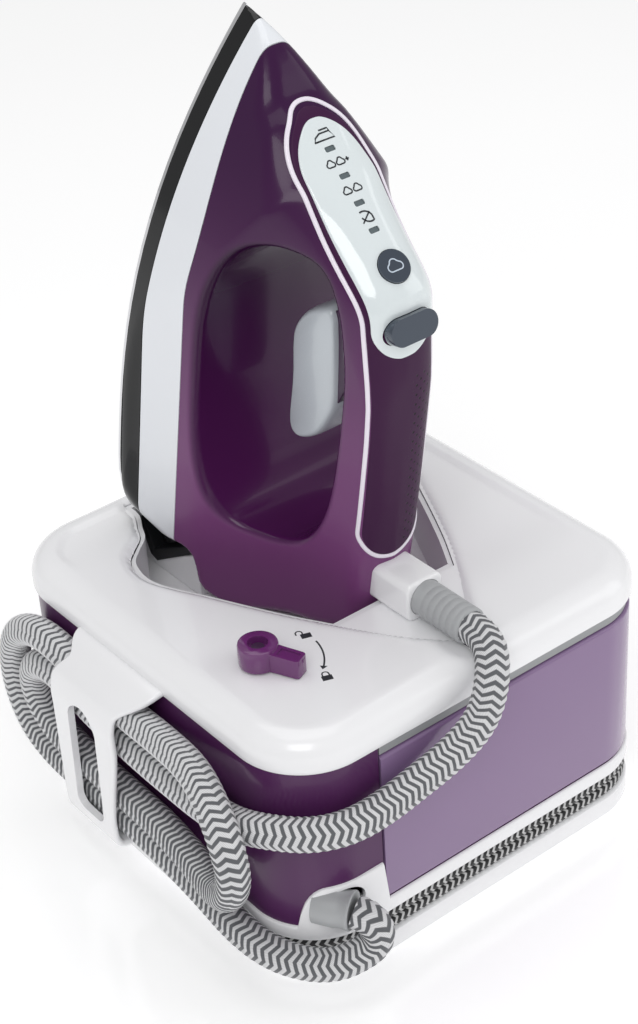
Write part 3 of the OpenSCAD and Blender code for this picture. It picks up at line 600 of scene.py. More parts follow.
def read_points(mesh):
    """The mesh's points, three numbers in each row."""
    co = np.zeros(len(mesh.vertices) * 3)
    mesh.vertices.foreach_get("co", co)
    return co.reshape(-1, 3)


def tube(name, line, radius, sides, body, material, nodes, slot, relief=None, **extra):
    """A tube along a line, with UVs: the turn from 0 to 1, and the length in metres.

    radius is one number or one for each point of the line, and relief adds to it.
    """
    _, a, b = frames(line)
    length = run_length(line)
    angle = np.linspace(0, 2 * math.pi, sides, endpoint=False)
    size = np.broadcast_to(np.asarray(radius, float), (len(line),))[:, None] + np.zeros((1, sides))
    if relief:
        size = size + relief(angle[None] / (2 * math.pi), length[:, None] / 1000)
    ring = np.cos(angle)[None, :, None] * a[:, None] + np.sin(angle)[None, :, None] * b[:, None]
    points = (line[:, None] + size[..., None] * ring).reshape(-1, 3)
    _, faces = loft([points[:sides]] * len(line))
    mesh = bpy.data.meshes.new(name)
    mesh.from_pydata(to_row(points).tolist(), [], faces)
    layer = mesh.uv_layers.new(name="UVMap")
    corner = corner_points(mesh)
    u = (corner % sides) / sides
    v = length[corner // sides] / 1000
    # The last face of each ring closes the turn, so its far corners are at 1 and not at 0
    quads = (len(line) - 1) * sides
    closing = np.arange(quads) % sides == sides - 1
    late = np.repeat(closing, 4) & (u[: quads * 4] < 0.5 / sides)
    u[: quads * 4][late] = 1.0
    layer.data.foreach_set("uv", np.stack([u, v], -1).ravel())
    piece = add_object(name, mesh)
    finish_piece(piece, body, material, nodes, slot, sharp=60, **extra)
    return piece


def lathe(profile, place, steps=48):
    """Points and faces of a solid turned from (radius, height) pairs.

    place turns (x, y, height) into millimetres.
    """
    rings = [place(np.column_stack([r * circle(steps), np.full(steps, h)])) for r, h in profile]
    return loft(rings)


# The corners of a rectangle round its centre, anticlockwise from the first quarter
CORNERS = ((1, 1), (-1, 1), (-1, -1), (1, -1))


def rounded_box(half_a, half_b, radius, steps):
    """The four arcs of a rounded rectangle round its centre."""
    a, b = half_a - radius, half_b - radius
    return [arc(sa * a, sb * b, radius, k * 90, k * 90 + 90, steps + 1) for k, (sa, sb) in enumerate(CORNERS)]


# ---------- the station ----------

HALF_X, HALF_Y, CORNER = 110.0, 112.0, 35.0
CORNER_STEPS = 26
SIDE_STEPS = 60


def plan(inset):
    """The station's plan drawn in by a distance, the same count of points at each inset."""
    r = max(CORNER - inset, 0.5)
    arcs = rounded_box(HALF_X - inset, HALF_Y - inset, r, CORNER_STEPS)
    t = np.linspace(0, 1, SIDE_STEPS + 1)[1:-1, None]
    out = []
    for here, following in zip(arcs, arcs[1:] + arcs[:1]):
        out += [here, here[-1] + (following[0] - here[-1]) * t]
    return np.concatenate(out)


def at_height(flat, z):
    return np.column_stack([flat, np.full(len(flat), z, float)])


def slab(profile):
    """A solid through (inset, height) pairs."""
    return loft([at_height(plan(inset), z) for inset, z in profile])


def rounded(inset, low, high, r):
    """A slab's outer profile with its top and bottom edges rounded."""
    steps = [math.radians(a) for a in (0, 22.5, 45, 67.5, 90)]
    lower = [(inset + r - r * math.sin(a), low + r - r * math.cos(a)) for a in steps]
    upper = [(inset + r - r * math.cos(a), high - r + r * math.sin(a)) for a in steps]
    return lower + upper


DOCK = [
    [1, -92], [14, -80], [43, -34], [54, -13], [66, 12], [77, 35], [78.5, 45], [75, 58], [68, 65],
    [60, 72], [56, 80], [51, 90], [50, 101],
]  # fmt: skip
# The middle of the dock, where the iron and its hose stand
DOCK_X = 3.0
# Ahead of this y the opening is only a shallow dish for the hose
DEEP_Y = -47.8
LID_TOP = 140.0
# The hose's first stretch lies at this height
HOSE_Z = 147.0


def dock_outline(inset=0.0, front=-200.0):
    """The dock opening as a smooth closed outline, behind a line across it."""
    side = spline(DOCK, 2.0)
    side = side[side[:, 1] > front]
    side[:, 0] = np.maximum(side[:, 0] - inset, 0.4)
    side[-1, 1] -= inset
    side[0, 1] = max(side[0, 1], front) + inset * 0.6
    right = side + [DOCK_X, 0]
    left = side[::-1] * [-1, 1] + [DOCK_X, 0]
    return np.concatenate([right, left])


def make_lid():
    """The white lid: rounded shoulder, low rim round the back's flat, dished front, dock opening."""
    outer = [(0.9, 123.0), (0.25, 123.3), (0, 124), (0, 126), (0, 128), (0.15, 130), (0.7, 132.2)]
    outer += [(1.7, 134.3), (3.1, 136.1), (4.9, 137.6), (7.0, 138.8), (9.4, 139.6), (12, LID_TOP)]
    outer += [(inset, LID_TOP) for inset in np.arange(13.5, 104, 2.0)]
    inner = [(103.5, 137), (60, 137), (12, 137), (12, 131), (3, 131), (3, 124), (3, 123.0)]
    outline = dock_outline()
    rings = []
    for inset, z in outer:
        flat = plan(inset)
        ring = at_height(flat, z)
        if inset > 5:
            edge = distance(flat, outline)
            x, y = flat[:, 0], flat[:, 1]
            right_back = smoothstep(-20, 30, x) * smoothstep(-75, -40, y) + smoothstep(60, 90, y)
            rim = smoothstep(13.0, 16.0, inset) * np.clip(right_back, 0, 1)
            # The flat at the back and right lies lower than the shoulder round it
            ring[:, 2] -= 1.7 * rim
            # A shallow dish round the lever
            from_lever = np.hypot(x - LEVER_X, y - LEVER_Y)
            ring[:, 2] -= 0.35 * smoothstep(30, 8, from_lever) * smoothstep(9, 12, inset)
            # The opening's rounded lip, and the dish ahead of it
            lip = np.clip(edge / 5.0, 0, 1)
            ring[:, 2] -= 4.0 * (1 - np.sqrt(1 - (1 - lip) ** 2)) * (edge > -1)
            front = smoothstep(DEEP_Y + 4, DEEP_Y - 10, y)
            ring[:, 2] -= 4.0 * (edge <= -1) + front * 5.5 * smoothstep(0, -9, edge)
            # The front edge dips where the hose leaves
            mouth = smoothstep(16, 6, np.abs(x - DOCK_X)) * smoothstep(-70, -92, y)
            ring[:, 2] = np.minimum(ring[:, 2], LID_TOP - 2.6 * mouth)
        rings.append(ring)
    rings += [at_height(plan(inset), z) for inset, z in inner]
    n = len(rings[0])
    points, faces = loft(rings, caps=False)
    last = (len(rings) - 1) * n
    faces += [(last + k, last + (k + 1) % n, (k + 1) % n, k) for k in range(n)]
    lid = solid(points, faces)
    cut(lid, prism(dock_outline(0, DEEP_Y), 100, 200))
    # A round bed for the hose's sleeve in the front edge, and the hole for the lever's shaft
    rest = circle(64) * 10.2
    ring = np.stack([DOCK_X + rest[:, 0], np.zeros(64), HOSE_Z + rest[:, 1]], -1)
    cut(lid, loft([ring + [0, -135, 0], ring + [0, -62, 0]]))
    cut(lid, lathe([(4.2, 110), (4.2, 160)], on_lever))
    name_and_finish(lid, "lid", "station", "white", ["top_cover"], "white_plastic", sharp=40)


def make_dock():
    """The well under the opening, and the grey pedestal of the cradle with its tip."""
    outer = solid(*prism(dock_outline(0.4, DEEP_Y), 103.5, 136.3))
    cut(outer, prism(dock_outline(3, DEEP_Y + 1.8), 106, 200))
    name_and_finish(outer, "dock_lining", "station", "lining", ["dock_well"], "grey_plastic", bevel=0.6)
    wall = [
        (99.0, 106.2), (99.0, 129), (90.4, 112.2), (86.5, 111.2), (84.4, 111.8), (53, 128.6), (51.5, 126),
        (50, 118), (49.5, 106.2),
    ]  # fmt: skip
    base = prism(np.array(wall), -40, 46, pushed_in_x)
    make("cradle_base", *base, "station", "lining", slot="grey_plastic", bevel=0.5)
    edge = [(95.2, 131.4), (97.4, 132.6), (98.4, 135.2), (97.2, 137.6), (94.6, 138.4), (92.6, 136.6)]
    edge += [(92.8, 133.6)]
    tip = prism(spline(edge, 0.8, True), -42, 48, pushed_in_x)
    make("cradle_tip", *tip, "station", "grey", slot="grey_plastic", bevel=0.8)


# The tank's left end, and the back walls of its main part and of its step
TANK_X, TANK_Y, STEP_Y = -61, -52, -6
# The height of the step, and where the side part begins
STEP_Z, SIDE_X = 85, 82
# The heights between which the tank's bay is open
BAY_LOW, BAY_HIGH = 35.2, 123.2
# Past the station on every side
FAR = 200


def bay(grow, low, high):
    """The tank's space as three boxes: the main part, the low step and the side part."""
    left, back = TANK_X - grow, STEP_Y + grow
    return [
        ((left, -FAR, low), (FAR, TANK_Y + grow, high)),
        ((left, -FAR, low), (FAR, back, STEP_Z + grow)),
        ((SIDE_X - grow, -FAR, low), (FAR, back, high)),
    ]


def recess():
    """An oval prism that cuts the gland's recess out of the front wall."""

    def place(p):
        return np.stack([p[:, 0] - 83.8, p[:, 2], p[:, 1] + 47.0], -1)

    return prism(circle(64) * [10.0, 8.0], -125, -109.3, place)


def make_housing():
    """The purple housing with the tank's bay cut out, and the grey band over the tank."""
    shell = solid(*slab([(1.5, 34.6), (1.5, 123.2)]))
    inner = solid(*slab([(4.5, 33), (4.5, 125)]))
    for low, high in bay(3.8, BAY_LOW, BAY_HIGH):
        boolean(inner, box(low, high))
    boolean(shell, inner)
    for low, high in bay(0.8, BAY_LOW, BAY_HIGH):
        boolean(shell, box(low, high))
    cut(shell, recess())
    name_and_finish(shell, "housing_shell", "station", "housing", ["housing"], "purple_gloss", bevel=0.5)
    band = solid(*slab([(2.2, 117.3), (2.2, 123.6)]))
    cut(band, slab([(14, 110), (14, 130)]))
    boolean(band, box((TANK_X + 0.4, -FAR, 110), (FAR, STEP_Y - 0.5, 130)), "INTERSECT")
    name_and_finish(band, "tank_top_band", "station", "grey", (), "grey_plastic")


def make_tray():
    """The white tray with the lead's groove, and the raised part round the hose's gland."""
    lower = [(5, 3.0), (1.2, 3.2), (0.3, 3.8), (0, 4.8), (0, 12.8), (0.3, 13.6), (1.0, 14.0), (7.2, 14.2)]
    lower += [(7.2, 27.0), (1.0, 27.2), (0.3, 27.6), (0, 28.4), (0, 31)]
    flat = plan(0)
    x, y = flat[:, 0], flat[:, 1]
    rise = np.sqrt(1 - (1 - np.clip((x + 102) / 11, 0, 1)) ** 2.4)
    raised = 22.5 * rise * (x < TANK_X - 0.6) * (y < -60)
    rings = [at_height(plan(i), z) for i, z in lower]
    edge = ((0, 34, 0.5), (0, 34, 1), (0.3, 34.65, 1), (0.9, 35, 1), (2, 35, 1), (6, 35, 1))
    for inset, height, share in edge:
        rings.append(at_height(plan(inset), height + raised * share))
    rings += [at_height(plan(inset), 35.0) for inset in (6.2, 60)]
    tray = solid(*loft(rings))
    cut(tray, recess())
    name_and_finish(tray, "tray", "station", "white", ["base_tray"], "white_plastic", sharp=38)


def make_tank():
    """The clear tank, with its filler opening and the hole for the valve."""

    def filler(p):
        return p + [70, -80, 0]

    def valve(p):
        return np.stack([p[:, 2] + TANK_X, p[:, 0] - 32, p[:, 1] + 48], -1)

    form = solid(*slab(rounded(0.8, 35.6, 116.5, 1.6)))
    main, step, side = [box(low, high) for low, high in bay(0, 0, FAR)]
    boolean(main, step, "UNION")
    boolean(main, side, "UNION")
    boolean(form, main, "INTERSECT")
    cut(form, lathe([(15, 107), (15, 130)], filler))
    cut(form, lathe([(5.2, -3), (5.2, 8)], valve))
    name_and_finish(form, "tank_shell", "tank", "tank", ["water_tank"], "violet_clear", bevel=0.9)


def ribbon_ring(p, side, y0, y1, half):
    """The bracket's cross-section: a flat bar with round ends."""
    angle = np.linspace(-90, 90, 9) * math.pi / 180
    front = [(y1 - half + half * math.cos(a), half * math.sin(a)) for a in angle]
    back = [(y0 + half - half * math.cos(a), -half * math.sin(a)) for a in angle]
    ring = []
    for y, out in front + back:
        ring.append([p[0] + side[0] * out, y, p[1] + side[1] * out])
    return np.array(ring)


def make_hook():
    """The white bracket that flows out of the lid's edge, down outside the hose and back under it."""
    route = [
        (-106, 124.2), (-110, 123.6), (-116, 121.6), (-122, 117.5), (-126.8, 111.5), (-129.2, 103),
        (-129.25, 92), (-129.25, 75), (-129.25, 55), (-129.25, 40), (-128.6, 33), (-126, 28.9),
        (-122, 27.75), (-116, 27.75), (-111.8, 27.75),
    ]  # fmt: skip
    line = spline(route, 1.6)
    run = unit(np.gradient(line, axis=0))
    rings = []
    for p, h in zip(line, run):
        fan = float(smoothstep(108, 124.5, p[1]))
        y0 = -5 - 15 * fan + 9 * float(smoothstep(95, 40, p[1]))
        y1 = 45 - 9 * fan + 12 * float(smoothstep(118, 124.5, p[1]))
        rings.append(ribbon_ring(p, (-h[1], h[0]), y0, y1, 1.75))
    hook = solid(*loft(rings))
    # The slot's outline: one wide arc at its top and two small ones at its foot
    edge = [arc(20, 93, 11, 5, 178, 17), arc(17, 45, 6, 180, 270, 17), arc(27, 45, 6, 270, 365, 17)]
    cut(hook, prism(np.concatenate(edge), -140, -116, pushed_in_x))
    name_and_finish(hook, "hose_bracket", "station", "white", ["hose_hook"], "white_plastic", bevel=0.5)


LEVER_TURN = math.radians(-67)
LEVER_X, LEVER_Y = -76, -48


def on_lever(p):
    return p + [LEVER_X, LEVER_Y, 0]


def turned(p, turn, at):
    """Points turned about z by an angle and moved to a place in plan."""
    c, s = math.cos(turn), math.sin(turn)
    return np.stack([p[:, 0] * c - p[:, 1] * s + at[0], p[:, 0] * s + p[:, 1] * c + at[1], p[:, 2]], -1)


def make_lever():
    """The lock lever: a round boss with a hollow top, a grooved arm, a shaft and a dark core."""

    def arm_place(p):
        return turned(p, LEVER_TURN, (LEVER_X, LEVER_Y))

    boss = [(8.4, 140.3), (9.0, 140.6), (9.2, 141.4), (9.2, 150.0), (8.9, 150.9), (8.2, 151.3)]
    lever = solid(*lathe(boss, on_lever, 64))
    arm_half = np.array([(4, 4.4), (12, 4.0), (20.6, 3.9), (21.8, 3.4), (22, 2.6)])
    boolean(lever, solid(*prism(mirrored(arm_half), 140.4, 149.7, arm_place)), "UNION")
    cut(lever, lathe([(4.6, 147.6), (4.8, 160)], on_lever, 48))
    groove_half = np.array([(10.5, 2.6), (19.6, 2.4), (20.4, 1.8)])
    cut(lever, prism(mirrored(groove_half), 148.7, 160, arm_place))
    boolean(lever, solid(*lathe([(4, 122), (4, 142)], on_lever, 32)), "UNION")
    name_and_finish(lever, "lever_knob", "lever", "lever", ["lock_lever"], "lever_purple", bevel=0.45)
    core = [(1.5, 147.0), (2.9, 147.2), (3.1, 147.8), (2.9, 149.0), (1.4, 149.3)]
    make("lever_core", *lathe(core, on_lever, 24), "lever", "stem", slot="lever_purple")


def mirrored(half):
    """An outline from its upper half: the lower half first, then the upper one back."""
    return np.concatenate([half * [1, -1], half[::-1]])


# Printed marks begin below the surface and stand this far above it
INK_LOW, INK_HIGH = -0.3, 0.14


def stroke(points, width, place):
    """A printed line: a flat ribbon along points, laid on a surface by place(a, b, height)."""
    p = np.asarray(points, float)
    closed = np.allclose(p[0], p[-1])
    run = np.gradient(p, axis=0)
    if closed:
        run[0] = run[-1] = p[1] - p[-2]
    run /= np.linalg.norm(run, axis=1)[:, None] + 1e-9
    side = np.stack([-run[:, 1], run[:, 0]], -1) * width / 2
    rings = []
    for q, n in zip(p, side):
        ring = [(*(q + n), INK_LOW), (*(q + n), INK_HIGH), (*(q - n), INK_HIGH), (*(q - n), INK_LOW)]
        rings.append(place(np.array(ring)))
    return loft(rings)


def fill(points, place):
    """A printed patch."""
    return prism(np.asarray(points, float), INK_LOW, INK_HIGH, place)


def joined(parts):
    """Several points-and-faces pairs as one."""
    points, faces, at = [], [], 0
    for p, f in parts:
        points.append(p)
        faces += [tuple(i + at for i in face) for face in f]
        at += len(p)
    return np.concatenate(points), faces


def padlock(cx, cy, turn, opened, place):
    """A padlock icon about 5 mm wide, turned on the surface."""

    def put(p):
        return place(turned(p, turn, (cx, cy)))

    body = [(-2.4, -2.2), (2.4, -2.2), (2.4, 1.2), (-2.4, 1.2)]
    shift = 2.6 if opened else 0.0
    bow = np.concatenate([[(-1.5 - shift, 1.2)], arc(-shift, 2.3, 1.5, 180, 0), [(1.5 - shift, 1.2)]])
    return [fill(body, put), stroke(bow, 0.65, put)]


def make_lid_print():
    """The two padlocks by the lever and the arrow between them."""

    def place(p):
        return p + [0, 0, LID_TOP - 0.1]

    turn = math.radians(-20)
    parts = padlock(-48.5, -46, turn, True, place) + padlock(-60.5, -76, turn, False, place)
    reach, shaft_end, tip_at = 28.5, -47, -52
    parts.append(stroke(arc(LEVER_X, LEVER_Y, reach, -9, shaft_end), 0.8, place))
    tip = arc(LEVER_X, LEVER_Y, reach, tip_at, tip_at, 1)[0]
    base = arc(0, 0, 1, shaft_end, shaft_end, 1)[0]
    root = np.array([LEVER_X, LEVER_Y]) + base * reach
    parts.append(fill([tip, root + base * 1.7, root - base * 1.7], place))
    make("lid_print", *joined(parts), "station", "print", slot="dark_metallic")


# ---------- cords ----------

HOSE_ROUTE = [
    (3, -98, 147), (3, -106, 147), (0, -115, 144.5), (-7, -122.5, 135.5), (-15, -125, 122), (-30, -123, 110),
    (-49, -121, 103), (-68, -120.5, 99), (-86, -119, 98), (-101.5, -112, 98), (-112, -98.5, 97),
    (-117, -82, 93), (-118, -60, 89), (-118, -36, 88), (-118, -10, 88), (-118, 20, 90), (-118, 44, 93.5),
    (-118, 63, 95.5), (-118, 78, 90.5), (-118, 84, 78), (-118, 79, 65), (-118, 65, 57), (-119, 46, 56),
    (-119, 20, 55), (-119, -20, 54), (-122, -50, 54), (-127, -74, 57), (-131, -90, 67), (-132, -97, 82),
    (-131, -92, 97), (-127, -78, 107), (-122, -58, 111), (-119, -30, 109), (-118, -2, 107),
    (-117, 26, 107), (-117, 44, 109.8), (-117.5, 58, 112.5), (-118, 74, 111.5), (-118, 92, 101.5),
    (-118, 101, 82),
    (-118, 100, 62), (-118, 90, 46), (-118, 72, 39.5), (-118, 46, 38.5), (-118, 14, 38.5), (-118, -20, 37),
    (-118, -50, 33), (-118.5, -78, 29), (-114.5, -97.5, 26), (-104, -112.5, 23.5), (-95, -119.5, 24),
    (-87, -123.5, 27.5), (-81, -126, 30.5), (-78.2, -127, 37), (-79.2, -124.8, 43), (-82, -120, 46),
    (-83.75, -116.8, 46),
]  # fmt: skip
HOSE_R = 7.75
LEAD_R = 3.2
LEAD_TAIL = [
    (90, 104.5, 23.8), (82, 110, 22.5), (75, 116, 17), (66, 125, 8), (56, 134, 4), (46, 140, 5),
    (37, 142, 10), (28, 142, 16), (20, 142, 18.5),
]  # fmt: skip


def chevrons(pitch, zigzags, lean, depth):
    """The braid's relief for a tube: ridges that follow its zigzag stripes."""

    def relief(turn, along):
        zig = np.abs(2 * ((turn * zigzags) % 1) - 1)
        stripe = np.abs(2 * ((along / pitch + zig * lean) % 1) - 1)
        return depth * (smoothstep(0.1, 0.9, stripe) - 1)

    return relief


def make_hose():
    """The steam hose, with its braid's relief, and the grey sleeve at its lower end."""
    line = even(relaxed(spline(HOSE_ROUTE, 2.0), 12), 0.8)
    relief = chevrons(*HOSE_BRAID, 0.4)
    hose = tube("hose", line, HOSE_R, 50, None, "hose", ["steam_hose"], "hose_braid", relief)
    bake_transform(hose)
    sleeve = make_gland()
    to_row(line[0])
    to_row(line[::3])  # fmt: skip


def make_gland():
    """The grey sleeve at the hose's lower end."""
    turn = math.radians(-60)
    out = np.array([math.cos(turn), math.sin(turn), 0])
    side = np.array([-math.sin(turn), math.cos(turn), 0])
    at = np.array([-90.0, -106.0, 46.0])

    def place(p):
        return at + p[:, 2:3] * out + p[:, 0:1] * side + p[:, 1:2] * np.array([0, 0, 1.0])

    shape = [(7.0, -6), (9.2, -5.6), (9.3, 4.0), (8.9, 5.0), (8.7, 7.2), (9.0, 9.6), (9.3, 10.6), (9.2, 11.3)]
    shape += [(8.7, 11.7), (7.4, 11.4)]
    sleeve = lathe(shape, place, 64)
    return make("hose_sleeve_low", *sleeve, "station", "light_grey", ["hose_gland"], "grey_plastic")


def groove_line():
    """The lead's two turns in the tray's groove, then its tail."""
    r = CORNER - 3.9
    w, d = HALF_X - CORNER, HALF_Y - CORNER
    start = [(68, d + r)]
    corners = [arc(sx * w, sy * d, r, 90 * k, 90 * k + 90, 12) for k, (sx, sy) in enumerate(CORNERS)]
    lap = even(np.concatenate([start, *corners[1:], corners[0], start]), 3.0)
    low, high = 17.4, 23.8
    total = len(lap)
    rise = smoothstep(total - 12, total - 2, np.arange(total))
    first = np.column_stack([lap, low + (high - low) * rise])
    second = np.column_stack([lap, np.full(total, high)])[1 : total - 10]
    return np.concatenate([first, second]), np.array(LEAD_TAIL, float)


def make_lead():
    """The mains lead from its gland to its plug."""
    turns, tail = groove_line()
    while np.linalg.norm(turns[-1] - tail[0]) < 8 or turns[-1][1] > 100:
        turns = turns[:-1]
    line = np.concatenate([turns, spline(np.concatenate([turns[-1:], tail]), 3.0)[1:]])
    line = even(relaxed(even(line, 3.0), 2), 1.5)
    nodes = ["mains_cord_coil", "mains_cord_tail"]
    relief = chevrons(*LEAD_BRAID, 0.2)
    lead = tube("mains_lead", line, LEAD_R, 18, "station", "lead", nodes, "lead_braid", relief)
    boot_line = spline([(68, 108.1, 17.4), (60, 108.1, 17.4), (48, 108.1, 17.4)], 1.0)
    index = np.arange(len(boot_line))
    size = np.interp(index, [0, 2, index[-1]], [3.6, 4.0, 3.45])
    rings = 0.25 * (np.sin(index * 2 * math.pi / 4) > 0)
    tube("lead_boot", boot_line, size - rings, 24, "station", "rubber", ["mains_gland"], "black_rubber")
    plug = make_plug()
    to_row(line[0])
    to_row(line[::2])  # fmt: skip


def make_plug():
    """A round plug with a ribbed neck and two pins."""
    at = np.array(LEAD_TAIL[-1], float)

    def place(p):
        return at + np.stack([-p[:, 2], p[:, 1], p[:, 0]], -1)

    shape = [(4.2, -1), (4.6, 0)]
    for k in range(5):
        r, h = 4.7 + k * 0.62, k * 3.4
        shape += [(r, 0.6 + h), (r + 0.2, 2.6 + h), (r - 0.5, 3.0 + h), (r - 0.5, 3.7 + h)]
    shape += [(8.2, 17.8), (12.5, 18.6), (16.2, 20.4), (18.0, 23.0), (18.5, 25.5), (18.5, 35.6), (18.2, 37.2)]
    shape += [(17.2, 38)]
    plug = make("plug", *lathe(shape, place, 56), "station", "rubber", ["mains_plug"], "black_rubber")
    pin = [(2.3, 37), (2.4, 38.2), (2.4, 54.6), (2.0, 56.2), (1.1, 57)]
    pins = [lathe(pin, lambda p, y=y: place(p + [0, y, 0]), 24) for y in (-9.5, 9.5)]
    make("plug_pins", *joined(pins), "station", "steel", slot="steel")
    return plug


# ---------- the iron ----------

SIDE_VIEW = [
    (0, 0), (0, 4), (3, 13), (9, 24), (17, 33), (25, 41), (29, 49), (69, 108), (76, 116.5), (84, 121.5),
    (96, 123.5), (110, 124.5), (150, 127.5), (190, 130.5), (226, 132.5), (246, 132), (260, 126), (270, 110),
    (276, 90), (280.5, 72), (281.5, 60), (276.5, 50.5), (258, 43), (262, 20), (265, 0),
]  # fmt: skip
# Half the width at each height, under the panel and behind it
FRONT_VIEW = [
    (60, -8), (60, 4), (55, 12), (50.5, 34), (45, 47), (36, 60), (28, 72), (23.5, 84), (22, 96), (21.6, 108),
    (21, 116), (19, 123), (13, 127.5), (0, 130),
]  # fmt: skip
REAR_VIEW = [
    (60, -8), (60, 4), (55, 12), (50.5, 34), (47.5, 48), (40, 62), (31.5, 78), (24, 94), (20.4, 108),
    (18.6, 117), (17, 124), (12.5, 130), (0, 135),
]  # fmt: skip
SOLE_HALF = 60.0
# How far the seam over the white band comes down at the nose
SEAM_DROP = 11.0
# Where the sole is widest
WIDE_S = 215.0
# The finger hole's middle in s and v, and half its length and height
HOLE_AT = np.array([151.0, 74.5])
HOLE_HALF = np.array([78.0, 32.5])
# The step of the grid that the iron's form is worked out on
GRID = 1.25
# The panel's slope starts here in s and v, and rises at this angle
PANEL_AT = (29, 49)
PANEL_A = math.radians(55.9)
# The power button's distance up the slope, and the mode button's place and angle
POWER_AT = 71.5
MODE_AT = (90, 124.4)
MODE_A = math.radians(24)


def panel_point(d):
    """The s and v of a point on the panel's slope, a distance up from its start."""
    return PANEL_AT[0] + d * math.cos(PANEL_A), PANEL_AT[1] + d * math.sin(PANEL_A)


def sole_half_width(s, length):
    nose = 1 - np.clip(1 - s / WIDE_S, 0, None) ** 2.6
    behind = np.clip((s - WIDE_S) / (length - WIDE_S), 0, None)
    heel = np.clip(1 - behind**3.2, 0, None) ** (1 / 3.2)
    return SOLE_HALF * np.where(s < WIDE_S, nose, heel)


def sole_outline(length):
    s = length * (1 - np.cos(np.linspace(0, math.pi, 90))) / 2
    side = np.stack([sole_half_width(s, length), s], -1)
    return np.concatenate([side, side[::-1][1:-1] * [-1, 1]])


def hole_outline():
    """The finger hole's outline in s and v."""
    c = circle(180)
    return HOLE_AT + HOLE_HALF * np.sign(c) * np.abs(c) ** 0.7


def side_outline():
    """The side view: straight sole, everything else smoothed."""
    return np.concatenate([SIDE_VIEW[:1], spline(SIDE_VIEW[1:7], 1.5), spline(SIDE_VIEW[7:], 1.5)])


def round_max(a, b, r):
    """The greater of two distances, with its edge rounded to a radius."""
    u, w = np.maximum(a + r, 0), np.maximum(b + r, 0)
    return np.minimum(np.maximum(a + r, b + r), 0) + np.sqrt(u * u + w * w) - r


def soft_max(a, b, k):
    """The greater of two distances, blended where they are within k of each other."""
    h = np.clip(0.5 + 0.5 * (a - b) / k, 0, 1)
    return b * (1 - h) + a * h + k * h * (1 - h)


